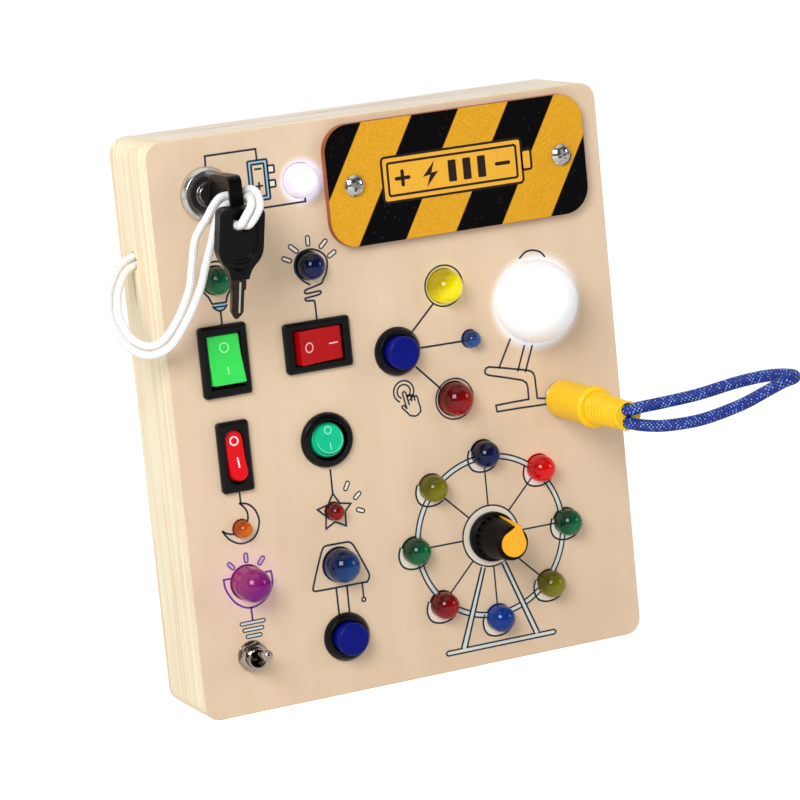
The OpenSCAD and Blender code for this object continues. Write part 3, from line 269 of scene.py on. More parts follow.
# %% Knots
def knot_piece(name, centre, across, height, axis, cord_r):
    """Trefoil (sin t + 2 sin 2t, cos t - 2 cos 2t, -sin 3t) / 3, scaled to fit and laid on axis."""
    t = np.linspace(0, 2 * math.pi, 200, endpoint=False)
    flat = np.stack([np.sin(t) + 2 * np.sin(2 * t), np.cos(t) - 2 * np.cos(2 * t)], -1) / 3
    flat *= across / 2 - cord_r
    rise = -np.sin(3 * t) * (height / 2 - cord_r)
    order = {"x": (rise, flat[:, 0], flat[:, 1]), "y": (flat[:, 0], rise, flat[:, 1])}[axis]
    return tube(name, np.stack(order, -1) + np.array(centre), braid(cord_r, 10, 5.0, 0.09), 20, closed=True)


outer_knot = knot_piece("key_cord_knot", (-56.6, -36, 140.2), 6.8, 5.2, "y", 1.2)
stop_knot = knot_piece("inside_knot", (-60.5, 4, 135), 7.4, 5.4, "x", 1.1)
for knot, body, node in ((outer_knot, "key_carrier", "key_knot"), (stop_knot, "board", "inner_knot")):
    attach(knot, body)
    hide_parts(node)
    print(knot.name, "has", len(knot.data.polygons), "faces")

# %% [markdown]
# ## The key cord
# Two strands leave the bore in the left side one over the other, hang in a loose curve, climb to
# the keys and pass through both heads to the knot behind the spare key.

# %% Key cord
strand_1 = [
    (-63.6, 4, 133.8), (-68, 4, 133.8), (-71.6, 3.8, 133.8), (-75, 1.8, 132.8), (-77.8, -1, 131),
    (-81.7, -6.5, 126.9), (-83.7, -11.9, 121.5), (-82.5, -16.7, 116.1), (-79.2, -20.3, 113.7),
    (-75.6, -23.5, 115), (-71.5, -27, 121.3), (-68.4, -30, 129.6), (-67.7, -32.2, 136.1),
    (-66.7, -33.8, 143), (-65.2, -34.9, 146.4), (-63, -35.4, 149.2), (-60.9, -35.3, 152),
    (-58.6, -34.9, 154.1), (-56.6, -34.65, 154.6), (-54.8, -34.6, 154.65), (-52.6, -34.7, 154.8),
    (-50.7, -35.6, 155.3), (-49.8, -37.6, 155.8), (-49.6, -40.7, 155.2), (-50.2, -44, 153.9),
    (-51.4, -47.1, 151.8), (-53.2, -47.5, 149.2), (-54.7, -46.9, 147.4), (-55, -44.9, 146.8),
    (-55, -42.3, 147), (-55, -40, 146.7), (-55.3, -38.1, 145.1), (-55.4, -36.7, 142.9)]
strand_2 = [
    (-63.6, 4, 136.3), (-68, 4, 136.3), (-72, 4, 136.2), (-76, 2.8, 134.9), (-79.8, 0, 132),
    (-84, -5.5, 127.1), (-86, -11.1, 120.8), (-84.3, -16.3, 114.4), (-79.8, -20.8, 111.1),
    (-74.3, -24.5, 113), (-69.7, -28, 119.9), (-65.9, -31, 128.4), (-63.9, -32.6, 135.3),
    (-61.8, -34.3, 142.5), (-60.6, -35.2, 147), (-59.2, -35.2, 150.4), (-57, -34.8, 152.1),
    (-54.8, -34.6, 152.35), (-52.6, -34.9, 152.5), (-51.3, -36.3, 153), (-51.2, -38.6, 153.9),
    (-51.7, -41.5, 154.2), (-52.7, -44.4, 153.8), (-54, -47.4, 152.4), (-55.9, -47.9, 150),
    (-57.3, -47.1, 147.8), (-57.4, -44.9, 147.1), (-57.4, -42.3, 147.3), (-57.5, -40.1, 147),
    (-57.6, -38.1, 145.4), (-57.8, -36.7, 143.1)]
STRAND_RINGS = 900
strands = []
for number, route in enumerate((strand_1, strand_2), 1):
    strand, path = cord_piece(f"key_strand_{number}", route, STRAND_D, STRAND_RINGS, around=24, plaits=12,
                              pitch=6.0, depth=0.12)
    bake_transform(strand)
    declare(path, "key_cord")
    strands.append(strand)

# %% [markdown]
# ## Softened solids
# Real mouldings, turned metal and sawn wood have small rounded edges that catch a line of light.
# A CAD mesh is loose triangles, so a copy is merged first, its flat triangles are joined into
# whole faces, and a Bevel rounds what is left sharp. The copy then stands for the node.

# %% Refined copies of the nodes
slot_of = {part["node"]: part["material_slot"] for part in frame["record"]["subparts"]}
BEVEL_FROM = math.radians(35)   # edges that turn by more than this are rounded
ONE_FACE = 0.002                # triangles that turn by less than this, in radians, become one face


def refine(node, edge):
    """A merged copy of a node with smooth shading and edges rounded to the width edge, in mm.
    Points nearer than a tenth of that width merge, so that no bevel starts on a hair's breadth."""
    bm = bmesh.new()
    bm.from_mesh(nodes[node].data)
    bmesh.ops.remove_doubles(bm, verts=bm.verts, dist=max(1e-6, 0.1 * edge * MM))
    bmesh.ops.dissolve_limit(bm, angle_limit=ONE_FACE, verts=bm.verts, edges=bm.edges)
    mesh = bpy.data.meshes.new(node + "_skin")
    bm.to_mesh(mesh)
    bm.free()
    if "custom_normal" in mesh.attributes:
        mesh.attributes.remove(mesh.attributes["custom_normal"])
    mesh.materials.clear()
    mesh.shade_smooth()
    mesh.set_sharp_from_angle(angle=BEVEL_FROM)
    piece = linked(node + "_skin", mesh)
    if edge:
        bevel = piece.modifiers.new("rounded edges", "BEVEL")
        bevel.width = edge * MM
        bevel.segments = 2
        bevel.limit_method = "ANGLE"
        bevel.angle_limit = BEVEL_FROM
        bevel.use_clamp_overlap = False
        bevel.harden_normals = True
    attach(piece, nodes[node].parent.name.split(":", 1)[1])
    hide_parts(node)
    return piece
edges = {
    "front_panel": 0.3, "frame_left": 0.3, "frame_right": 0.3, "frame_rails": 0.3, "back_panel": 0.25,
    "battery_cover": 0.35, "battery_tray": 0.25, "screws": 0.08, "lock_body": 0.18, "lock_core": 0.12,
    "main_key_head": 0.16, "spare_key_head": 0.16, "main_key_blade": 0.12, "spare_key_blade": 0.12,
    "green_rocker_housing": 0.2, "red_rocker_housing": 0.2, "slim_rocker_housing": 0.2,
    "round_rocker_housing": 0.15, "green_rocker": 0.35, "red_rocker": 0.35,
    "button_housings": 0.15, "toggle_body": 0.12, "mounting_nuts": 0.12,
    "selector_knob": 0.12, "selector_pointer": 0.2, "jack_socket": 0.08, "plug_shell": 0.12,
}
remade = {"plug_loop", "key_knot", "inner_knot", "key_cord", "round_rocker"}   # nodes with a new piece
refined = {node: refine(node, edges.get(node, 0.0)) for node in nodes if node not in remade}
print("refined", len(refined), "nodes")

# %% [markdown]
# ## Print on the panel
# The pictograms are ink, a few hundredths of a millimetre thick. An image texture would blur and
# a shader for every line would be slow, so each line is a strip of mesh that follows its points,
# with mitred corners and round ends, standing just proud of the wood.

# %% Ink strips
SUNK = 0.05   # how deep the foot of all print is sunk into the wood, in millimetres


def strip(points, width, out, closed=False):
    """A closed strip along a line of (x, z) points: its sides lie half a width away along the
    mitre, and each end runs out in a half circle of stations that narrow as a cosine."""
    p = np.asarray(points, float)
    step = np.roll(p, -1, 0) - p
    step /= np.maximum(np.linalg.norm(step, axis=1), 1e-9)[:, None]
    before = np.roll(step, 1, 0)
    if not closed:
        before[0], step[-1] = step[0], step[-2] if len(p) > 1 else step[-1]
    along = step + before
    along /= np.maximum(np.linalg.norm(along, axis=1), 1e-9)[:, None]
    stretch = 1 / np.maximum((along * step).sum(1), 0.5)
    half = np.full(len(p), width / 2) * stretch
    if not closed:
        turn = np.radians([85.0, 60, 30])
        half = np.concatenate([width / 2 * np.cos(turn), half, width / 2 * np.cos(turn[::-1])])
        p = np.vstack([p[0] - along[0] * (width / 2 * np.sin(turn))[:, None], p,
                       p[-1] + along[-1] * (width / 2 * np.sin(turn[::-1]))[:, None]])
        along = np.vstack([along[:1]] * len(turn) + [along] + [along[-1:]] * len(turn))
    across = np.stack([-along[:, 1], along[:, 0]], -1) * half[:, None]
    one, other = p + across, p - across
    section = [(one, -SUNK), (one, out), (other, out), (other, -SUNK)]
    points = np.stack([np.column_stack([q[:, 0], np.full(len(q), h), q[:, 1]]) for q, h in section], 1)
    faces = quads(len(p), 4, wrap_u=closed, wrap_v=True).tolist()
    if not closed:
        last = 4 * len(p) - 4
        faces += [[0, 1, 2, 3], [last + 3, last + 2, last + 1, last]]
    return points.reshape(-1, 3), faces


def patch(points, out):
    """A thin filled plate with this outline of (x, z) points."""
    p = np.asarray(points, float)
    n = len(p)
    low = np.column_stack([p[:, 0], np.full(n, -SUNK), p[:, 1]])
    high = np.column_stack([p[:, 0], np.full(n, out), p[:, 1]])
    faces = [list(range(n)), list(range(2 * n - 1, n - 1, -1))]
    faces += [[i, i + n, (i + 1) % n + n, (i + 1) % n] for i in range(n)]
    return np.vstack([low, high]), faces


def ring(at, r, count=72, start=0.0, turn=360.0):
    """Points (x + r sin a, z + r cos a) for even steps of a, in degrees from the top."""
    a = np.radians(start + np.linspace(0, turn, count, endpoint=turn < 360))
    return np.stack([at[0] + r * np.sin(a), at[1] + r * np.cos(a)], -1)


def round_box(x0, x1, z0, z1, r, count=8):
    """A box whose corners are quarter rings of radius r, joined in one outline."""
    corners = [(x1 - r, z1 - r, 0), (x1 - r, z0 + r, 90), (x0 + r, z0 + r, 180), (x0 + r, z1 - r, 270)]
    a = np.radians(np.linspace(0, 90, count))
    return np.vstack([np.stack([x + r * np.sin(a + math.radians(t)), z + r * np.cos(a + math.radians(t))], -1)
                      for x, z, t in corners])


print("a straight strip has", len(strip([(0, 0), (5, 0)], 1, 0.1)[1]), "faces")

# %% [markdown]
# ## Placing the print
# An object for every line would crowd the scene, so the strips of one colour become one mesh.
# Each strip is made flat, as x, height and z, and a placing function lays the mesh on its face at
# the end. So the drawing stays apart from where it is printed.

# %% Joining and placing print
def joined(name, parts, place, body="board"):
    """One mesh from many (points, faces) parts; place turns (x, height, z) into the board's millimetres."""
    points, faces, start = [], [], 0
    for p, f in parts:
        points.append(p)
        faces += [[k + start for k in face] for face in f]
        start += len(p)
    piece = mesh_object(name, place(np.vstack(points)), faces)
    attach(piece, body)
    return piece


def raised(face_y):
    """Flat print (x, height, z) goes to (x, face_y - height, z) from the panel's middle."""
    return lambda p: np.column_stack([p[:, 0], face_y - p[:, 1], p[:, 2] + MID_Z])


print("the middle of the panel is at", raised(FACE_Y)(np.zeros((1, 3)))[0].tolist(), "mm")

# %% [markdown]
# ## The pens
# Three pens draw all the pictograms from lists of points, in millimetres from the middle of the
# panel: a dark line, a tinted line under it, and a short bar with a dark rim. Straight runs stay
# as they are and curved ones pass through a smooth line first. The heights differ by some
# thousandths of a millimetre, so that no two prints share a plane and flicker.

# %% Pens
LINE, THIN = 0.58, 0.5                  # widths of the dark lines
ink, fill, pale, sky = [], [], [], []   # dark lines, grey-green, near wood, light blue


def draw(points, width=LINE, closed=False, curved=False, count=60, out=0.03):
    ink.append(strip(smooth_line(points, count, closed) if curved else points, width, out, closed))


def tint(points, width, closed=False, to=fill, out=0.018):
    to.append(strip(points, width, out, closed))


def capsule(a, b, width=1.6, rim=0.42, to=pale):
    """A short bar with a dark rim and a pale middle: a narrow pale strip on a wide dark one."""
    ends = np.array([a, b], float)
    way = (ends[1] - ends[0]) / np.linalg.norm(ends[1] - ends[0])
    ends += np.array([way, -way]) * (width / 2 - 0.45)
    ink.append(strip(ends, width, 0.03))
    to.append(strip(ends, width - 2 * rim, 0.045))


print("the pens are", LINE, "and", THIN, "mm wide")

# %% [markdown]
# ## Battery and bulbs
# Wires lead from the key switch through a battery to the white lamp, and two bulbs are drawn
# round their lamps. The battery's boxes come from a formula. No simple formula has the outline of
# a bulb, so that is a dozen or two of points with a smooth curve through them.

# %% Battery and bulbs
# battery and its wires
draw([(-54, 75), (-53.9, 79.3), (-38.2, 79.3), (-38.15, 76.1)])
draw(round_box(-41.2, -35.1, 64.4, 76.0, 0.45), closed=True)
draw(round_box(-40.1, -36.2, 65.5, 74.9, 0.25), closed=True)
tint(round_box(-40.65, -35.65, 64.95, 75.45, 0.35), 0.8, closed=True, to=sky)
for low, high in ((72.0, 73.9), (67.8, 69.6)):
    draw(round_box(-35.1, -33.1, low - 0.1, high + 0.1, 0.3), closed=True)
    pale.append(patch(round_box(-35.0, -33.3, low + 0.1, high - 0.1, 0.3), 0.02))
for line in ([(-39.0, 73.5), (-37.2, 73.45)], [(-39.15, 68.5), (-37.25, 68.5)], [(-38.2, 67.55), (-38.2, 69.45)],
             [(-37.8, 62.1), (-24.4, 62.15), (-24.4, 64.0)]):
    draw(line)

# the upright bulb round the green lamp
draw([(-56.5, 36.9), (-57.4, 38.9), (-59.2, 41.3), (-59.7, 43.6), (-58.2, 47.3), (-54.4, 48.9),
      (-50.6, 47.3), (-49.1, 43.6), (-49.6, 41.3), (-51.3, 38.9), (-52.1, 36.9)], curved=True, count=90)
draw([(-56.3, 36.8), (-52.1, 36.7)])
sky.append(patch([(-56.4, 36.8), (-55.6, 35.1), (-54.35, 34.5), (-52.9, 34.8), (-52.0, 36.7)], 0.016))
draw([(-55.9, 35.75), (-52.5, 35.7)], THIN)
draw([(-56.3, 36.0), (-55.5, 35.1), (-54.35, 34.5), (-52.9, 34.85), (-52.0, 35.9)], curved=True, count=24)
draw([(-54.1, 34.4), (-54.1, 30.6)])

# the bulb with rays, drawn in one line
draw([(-25.73, 37.89), (-28.15, 39.75), (-29.85, 42.63), (-29.28, 45.92), (-27.27, 47.69), (-24.0, 48.07),
      (-20.92, 46.57), (-19.57, 44.12), (-20.14, 40.82), (-21.38, 38.74), (-22.1, 37.72), (-24.39, 37.12),
      (-27.3, 36.43), (-27.01, 35.45), (-22.94, 35.59), (-22.52, 34.96), (-23.46, 34.54), (-27.15, 34.15),
      (-27.67, 33.85), (-27.05, 33.27), (-25.24, 33.11), (-24.71, 32.46), (-24.62, 27.74)], curved=True, count=140)
for a, b in (((-33.3, 46.7), (-30.9, 45.5)), ((-30.86, 50.0), (-28.55, 47.96)),
             ((-24.95, 51.96), (-25.0, 49.38)), ((-19.25, 50.06), (-21.3, 48.2)), ((-16.76, 46.46), (-18.96, 45.15))):
    capsule(a, b)
print("battery and bulbs:", len(ink), "dark strips")

# %% [markdown]
# ## Moon, star and bowl
# The moon is two arcs that meet in points, so it is two curved lines and not one closed one, which
# would round its horns. The star keeps its corners, and the bowl is a curve between two straight
# lips.

# %% Moon, star and bowl
draw([(-54.27, -19.25), (-54.24, -22.2)])
draw([(-54.61, -22.26), (-52.15, -22.87), (-50.19, -24.75), (-49.21, -27.33), (-49.26, -29.38), (-50.28, -31.95),
      (-52.28, -33.65), (-55.59, -34.08), (-58.66, -32.5), (-60.23, -30.5), (-60.77, -29.55)], curved=True)
draw([(-60.77, -29.55), (-59.15, -30.52), (-57.03, -30.9), (-54.4, -29.9), (-52.7, -27.74), (-52.51, -25.37),
      (-53.33, -23.69), (-54.61, -22.26)], curved=True)
draw([(-25.25, -17.35), (-25.22, -24.34)])
star = [(-25.23, -24.47), (-23.31, -27.68), (-19.85, -28.36), (-21.87, -30.43), (-21.99, -34.73),
        (-25.36, -32.95), (-28.47, -34.57), (-28.06, -30.84), (-30.59, -28.39), (-27.03, -27.52)]
draw(star, closed=True)
for a, b in (((-20.06, -21.87), (-21.18, -24.05)), ((-16.66, -25.64), (-18.44, -27.16)),
             ((-17.99, -30.49), (-15.94, -31.36)),                      # rays of the star
             ((-60.0, -39.3), (-58.6, -41.0)), ((-54.43, -37.37), (-54.47, -39.72)),
             ((-49.05, -39.26), (-50.56, -41.09))):                     # rays of the purple lamp
    capsule(a, b)
bowl = smooth_line([(-62.06, -43.8), (-61.78, -46.36), (-60.57, -49.13), (-58.57, -51.68), (-55.32, -53.39),
                    (-51.82, -52.96), (-48.9, -50.95), (-47.22, -47.98), (-46.94, -45.47), (-47.15, -43.8)])
draw(np.vstack([[(-59.6, -43.8)], bowl, [(-49.8, -43.8)]]))
draw([(-54.5, -53.5), (-54.4, -57.4)])
for half, z in ((3.7, -57.9), (3.05, -59.9), (2.25, -61.9)):
    capsule((-54.5 - half, z), (-54.5 + half, z), 1.4, 0.38, fill)
print("with moon, star and bowl:", len(ink), "dark strips")

# %% [markdown]
# ## Lamp shade, fan of lines and pressing hand
# The shade is one closed curve over two stems and a pull chain. The hand is drawn in thin lines,
# as a printer would for a sign of this size, with two rings round its finger tip.

# %% Shade, fan and hand
draw(smooth_line([(-29.02, -39.56), (-28.2, -39.52), (-22.7, -39.6), (-21.4, -39.85), (-20.45, -40.8), (-19.7, -42.3),
                  (-16.55, -49.51), (-16.3, -51.2), (-17.15, -52.56), (-18.8, -52.6), (-32.6, -52.5), (-34.1, -52.2),
                  (-34.35, -51.0), (-30.66, -41.14)], 110, True), closed=True)
draw([(-27.2, -52.7), (-27.1, -60.9)])
draw([(-23.74, -52.6), (-23.73, -61.2)])
draw([(-18.78, -52.7), (-18.76, -57.0)], THIN)
draw(ring((-18.78, -57.7), 0.6, 24), THIN, closed=True)

# lines from the centre button to its three lamps
for a, b in (((5.33, 19.31), (12.79, 26.4)), ((7.64, 13.97), (21.22, 13.84)), ((5.38, 8.5), (12.44, 1.04))):
    draw([a, b])
for lamp in ((16.8, 31.2), (16.8, -2.9)):
    draw(ring(lamp, 6.1), THIN, closed=True)

# the pressing hand
for r in (3.25, 2.1):
    draw(ring((0.6, 1.9), r, 70, start=-150, turn=300), THIN)
draw([(1.05, -3.23), (0.15, 1.2), (0.19, 1.62), (0.74, 1.95), (1.2, 1.45), (1.96, -2.21)], THIN)
draw([(1.5, -0.1), (1.8, 0.62), (2.38, 0.73), (2.68, 0.26), (2.92, -1.26)], THIN)
draw([(2.6, 0.3), (2.76, 0.46), (3.4, 0.57), (3.69, 0.1), (3.95, -1.22)], THIN)
draw([(3.78, -0.13), (4.49, 0.07), (4.88, -0.63), (5.06, -2.14), (5.48, -3.59), (5.46, -4.85), (4.57, -5.66),
      (3.62, -5.98), (1.95, -5.55), (0.93, -4.32), (-0.4, -2.83), (-0.41, -2.41), (0.13, -2.18), (0.66, -2.58),
      (1.05, -3.23)], THIN)
print("with shade, fan and hand:", len(ink), "dark strips")

# %% [markdown]
# ## The globe's post and the stepped arm
# Two stems carry the globe, and an arm steps down from them to the plug's socket. They are
# outlines, so their points lie close together where a line bends and far apart where it runs
# straight.

# %% Post and arm
draw([(42.38, 35.73), (44.49, 37.28), (46.97, 37.45), (49.34, 36.57), (50.66, 35.05)], curved=True)
for a, b in (((36.77, 11.99), (32.28, 4.0)), ((41.26, 9.28), (38.37, 2.13)), ((43.84, 8.87), (40.87, 1.51))):
    draw([a, b])
draw([(29.1, 4.8), (28.1, 4.6), (27.5, 3.9), (27.65, 2.95), (28.6, 2.35), (34.65, 0.6), (39.6, -0.95), (40.8, -1.9),
      (41.15, -3.3), (41.1, -7.0), (35.9, -7.0), (30.1, -7.1), (30.3, -9.05), (37.7, -9.15), (46.7, -9.45)])
draw([(29.1, 4.8), (34.95, 3.45), (41.3, 1.85), (42.6, 1.35), (43.4, 0.6), (43.8, -0.7), (43.95, -7.15),
      (46.9, -7.7)])
draw([(47.4, -9.9), (46.7, -8.2), (46.95, -6.4), (48.0, -5.0), (49.4, -4.2), (50.7, -3.9)], curved=True)
print("with post and arm:", len(ink), "dark strips")

# %% [markdown]
# ## The big wheel
# Eight lamps stand on a fairground wheel with a cup under each. One cup is drawn once and moved to
# its eight places, and rim, hub and spokes follow from the wheel's middle and three radii, so
# they can't drift apart as eight drawings could.

# %% The big wheel
WHEEL = np.array([24.4, -46.1])                 # its middle, from the panel's
HUB_R, RIMS, LAMP_R = 9.3, (24.9, 23.4), 25.3   # radii of the hub, of the rim's two lines and of the lamps' places
for r in RIMS:
    draw(ring(WHEEL, r, 120), THIN, closed=True)
tint(ring(WHEEL, sum(RIMS) / 2, 120), 1.2, closed=True)
pale.append(patch(ring(WHEEL, HUB_R, 60), 0.014))
draw(ring(WHEEL, HUB_R), THIN, closed=True)
cup = np.array([(-4.6, 1.4), (-5.2, -0.6), (-5.0, -2.8), (-3.8, -4.6), (-1.4, -5.5), (1.4, -5.3), (3.5, -4.2),
                (4.5, -2.6), (4.6, -1.2)])
for way in ring((0, 0), 1, 8):
    lamp = WHEEL + LAMP_R * way
    draw([WHEEL + HUB_R * way, lamp - 4.0 * way], THIN)
    bowl = smooth_line(cup + lamp, 30)
    pale.append(patch(bowl, 0.02))
    ink.append(strip(bowl, LINE, 0.034))
legs = np.array([[(20.28, -55.22), (11.32, -78.31), (21.41, -55.65), (13.18, -78.45)],
                 [(28.55, -55.0), (37.37, -78.08), (27.3, -55.5), (35.8, -78.3)]])
for a, b, c, d in legs:
    draw([a, b], out=0.05)
    draw([c, d], out=0.05)
    tint([(a + c) / 2, (b + d) / 2], 1.2, out=0.04)
draw(round_box(6.2, 43.0, -80.0, -78.6, 0.7), THIN, closed=True)
fill.append(patch(round_box(6.4, 42.8, -79.8, -78.8, 0.5), 0.02))
lines = joined("printed_lines", ink, raised(FACE_Y))
tints = [joined(name, parts, raised(FACE_Y)) for name, parts in (
    ("grey_print", fill), ("pale_print", pale), ("blue_print", sky))]
print("print has", sum(len(piece.data.polygons) for piece in (lines, *tints)), "faces")

# %% [markdown]
# ## The round paddle
# The round rocker has a flat face with a raised rim, above a skirt that widens towards the panel.
# A profile turned round the paddle's axis gives all of it in one surface, as a lathe would, and it
# is then leaned and moved as every paddle is.

# %% The round paddle
GREEN, RED, SLIM, ROUND = (-54.8, 105.1), (-25.5, 105.1), (-54.8, 76.8), (-25.5, 76.8)   # the rockers' (x, z)
TILT = math.radians(12)   # how far a paddle leans


def on_paddle(at, half, lying=False, face=1.9, hollow=0.7):
    """Height over the pivot runs from face in the middle to face + hollow at the ends; then a turn
    by the tilt about x, a quarter turn for a lying rocker, and the move to its place."""
    def place(p):
        x, height, z = p.T
        rise = face + hollow * np.abs(z) / half + height
        along, out = z * math.cos(TILT) + rise * math.sin(TILT), rise * math.cos(TILT) - z * math.sin(TILT)
        x, along = (along, -x) if lying else (x, along)
        return np.column_stack([at[0] + x, FACE_Y - out, at[1] + along])
    return place


def on_round(face):
    return on_paddle(ROUND, 5.25, face=face, hollow=0)


def turned(name, stations, place, body, slot, around=96):
    """Point (u, v) = (r(u) sin v, height(u), r(u) cos v), then placed; its ends close on the axis."""
    r, height = np.array(stations, float).T[:, :, None]
    v = np.linspace(0, 2 * math.pi, around, endpoint=False)
    points = np.stack([r * np.sin(v), height + 0 * v, r * np.cos(v)], -1)
    piece = surface(name, place(points.reshape(-1, 3)).reshape(points.shape), wrap_v=True)
    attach(piece, body)
    return piece


round_paddle = turned("round_paddle", [
    (0, 0.1), (3.5, 0.11), (3.8, 0.14), (3.92, 0.3), (4.05, 0.36), (4.22, 0.34), (4.34, 0.2), (4.42, -0.1),
    (4.7, -0.9), (4.98, -1.0), (5.1, -1.25), (5.15, -3.2), (0, -3.2)], on_round(2.3), "round_rocker", "teal_paddle")
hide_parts("round_rocker")
print("round paddle has", len(round_paddle.data.polygons), "faces")

# %% [markdown]
# ## Marks
# The rockers carry a ring and a bar, printed on a paddle that is tilted and slightly hollow. Each
# mark starts flat in the paddle's own frame, is lifted onto its height profile, and is then
# turned and moved exactly as the paddle is. The round paddle also gets a painted highlight: a
# thin lighter strip along part of its raised rim.

# %% Rocker marks
def mark(rocker, place, loop_line, loop_width, bar, bar_width):
    parts = [strip(loop_line, loop_width, 0.04, True), strip(bar, bar_width, 0.04)]
    return joined(rocker + "_marks", parts, place, rocker)


marks_and_rim_highlight = [
    mark("green_rocker", on_paddle(GREEN, 7.25), ring((0, 3.5), 1.35, 36), 0.34,
         [(0.05, -2.2), (0.05, -4.2)], 0.36),
    mark("red_rocker", on_paddle(RED, 7.25, lying=True), ring((0, -4.2), 1.35, 36), 0.36,
         [(0, 3.1), (0, 5.7)], 0.4),
    mark("slim_rocker", on_paddle(SLIM, 7.35), ring((0, 4.3), 1.2, 36), 0.42,
         [(0.3, -0.7), (0.3, -3.4)], 0.45),
    mark("round_rocker", on_round(2.42), ring((0, 2.6), 1.05, 36), 0.28,
         [(0, -1.2), (0, -3.1)], 0.3),
    # painted highlight: a lighter strip along part of the round paddle's raised rim
    joined("round_rocker_rim", [strip(ring((0, 0), 4.05, 60, start=70, turn=190), 0.2, 0.04)],
           on_round(2.63), "round_rocker"),
]
print("marks_and_rim_highlight", [piece.name for piece in marks_and_rim_highlight])

# %% [markdown]
# ## The groove of the spare key
# The blade has a milled groove whose polished floor catches the light. It is far narrower than an
# edge that a bevel could find, so it is a strip laid on the blade, leaned and turned as the key
# hangs, and it swings with the key.

# %% The polished groove
def on_spare(p):
    """Down the blade from the ring hole, turned 4.5 degrees about y, then 10 about x, then moved."""
    lean, tilt = math.radians(4.5), math.radians(10)
    x, y, z = p[:, 0], -0.5 - p[:, 1], p[:, 2] - 16.1   # -0.5: the blade's side; 16.1 below the ring hole
    x, z = x * math.cos(lean) + z * math.sin(lean), z * math.cos(lean) - x * math.sin(lean)
    y, z = y * math.cos(tilt) - z * math.sin(tilt), y * math.sin(tilt) + z * math.cos(tilt)
    return np.column_stack([x - 56.2, y - 43, z + 147.6])


groove = joined("spare_key_groove", [strip([(0.6, -0.5), (0.6, -9.8)], 0.55, 0.06)], on_spare, "spare_key")
print("groove has", len(groove.data.polygons), "faces")

# %% [markdown]
# ## The battery sign
# The cover of the battery bay carries a drawing of a battery: a gold plate with a dark outline,
# its pole, a plus, a bolt, three bars and a minus. It is made as the print on the panel is, one
# plate's thickness further out.

# %% Battery sign
COVER_Y = FACE_Y - 3   # the cover's face
OUTLINE, SIGN_H = 0.7, 0.04   # width of its outlines, and the height of its lines
bolt = np.array([(1.5, 3.7), (-2.5, -0.6), (-0.1, -0.2), (-1.4, -3.7), (2.6, 0.6), (0.3, 0.3)]) + (14.6, 65.1)
case = round_box(-0.8, 44.6, 58.5, 71.7, 1.1)
pole = round_box(44.6, 47.6, 62.2, 68.0, 0.7)
(plus_x, minus_x), mid_z, arm = (5.6, 38.2), 65.1, 2.0
sign_plate = joined("battery_sign_plate", [patch(case, 0.02), patch(pole, 0.02)], raised(COVER_Y))
sign_lines = joined("battery_sign_lines", [
    strip(outline, OUTLINE, SIGN_H, True) for outline in (case, pole, round_box(1.0, 42.8, 60.3, 69.9, 0.6))] + [
    strip([(plus_x - arm, mid_z), (plus_x + arm, mid_z)], 1.1, SIGN_H),
    strip([(plus_x, mid_z - arm), (plus_x, mid_z + arm)], 1.1, 0.045),
    strip([(minus_x - arm, mid_z), (minus_x + arm, mid_z)], 1.1, SIGN_H), patch(bolt, SIGN_H)] + [
    patch(round_box(x, x + 2.6, 61.9, 68.3, 0.4), SIGN_H) for x in (20.4, 25.2, 30.0)],
    raised(COVER_Y))
print("sign has", len(sign_plate.data.polygons) + len(sign_lines.data.polygons), "faces")

# %% [markdown]
# ## Shader maths
# A material is a graph of nodes. Wiring Math nodes by hand hides the formula, so one small class
# wraps a socket and overloads the operators: `1 - mask` adds a Math node that subtracts.

# %% Colours and socket maths
def srgb(red, green, blue):
    """A colour as eight-bit display values, turned to the linear values that light uses."""
    part = np.array([red, green, blue]) / 255
    return tuple(np.where(part <= 0.04045, part / 12.92, ((part + 0.055) / 1.055) ** 2.4)) + (1.0,)


class Value:
    """One socket of a shader. Operators on it add Math nodes and give a new Value."""

    def __init__(self, shader, socket):
        self.shader, self.socket = shader, socket

    def math(self, operation, *others):
        return self.shader.node("Math", {"operation": operation}, (self, *others))

    def __add__(self, other):
        return self.math("ADD", other)

    def __sub__(self, other):
        return self.math("SUBTRACT", other)

    def __rsub__(self, other):
        return self.shader.node("Math", {"operation": "SUBTRACT"}, (other, self))

    def __mul__(self, other):
        return self.math("MULTIPLY", other)

    def __truediv__(self, other):
        return self.math("DIVIDE", other)

    def __pow__(self, other):
        return self.math("POWER", other)

    def __lt__(self, other):
        return self.math("LESS_THAN", other)

    def __gt__(self, other):
        return self.math("GREATER_THAN", other)

    def __abs__(self):
        return self.math("ABSOLUTE")

    def clamped(self):
        return self.shader.node("Math", {"operation": "ADD", "use_clamp": True}, (self, 0.0))

    def ramped(self, start, slope):
        """0 at start, growing by slope from there, and held between 0 and 1."""
        return ((self - start) * slope).clamped()

    __radd__, __rmul__ = __add__, __mul__


print("display grey 128 is", round(srgb(128, 128, 128)[0], 3), "in light")

# %% [markdown]
# ## Node graphs
# Every material, and the world, is a tree of nodes. One class adds a node together with its
# settings and inputs. A second one, for materials, reads the object's coordinates and fills the
# sockets of the Principled BSDF by name, so that a finish is a few lines that read as a recipe.

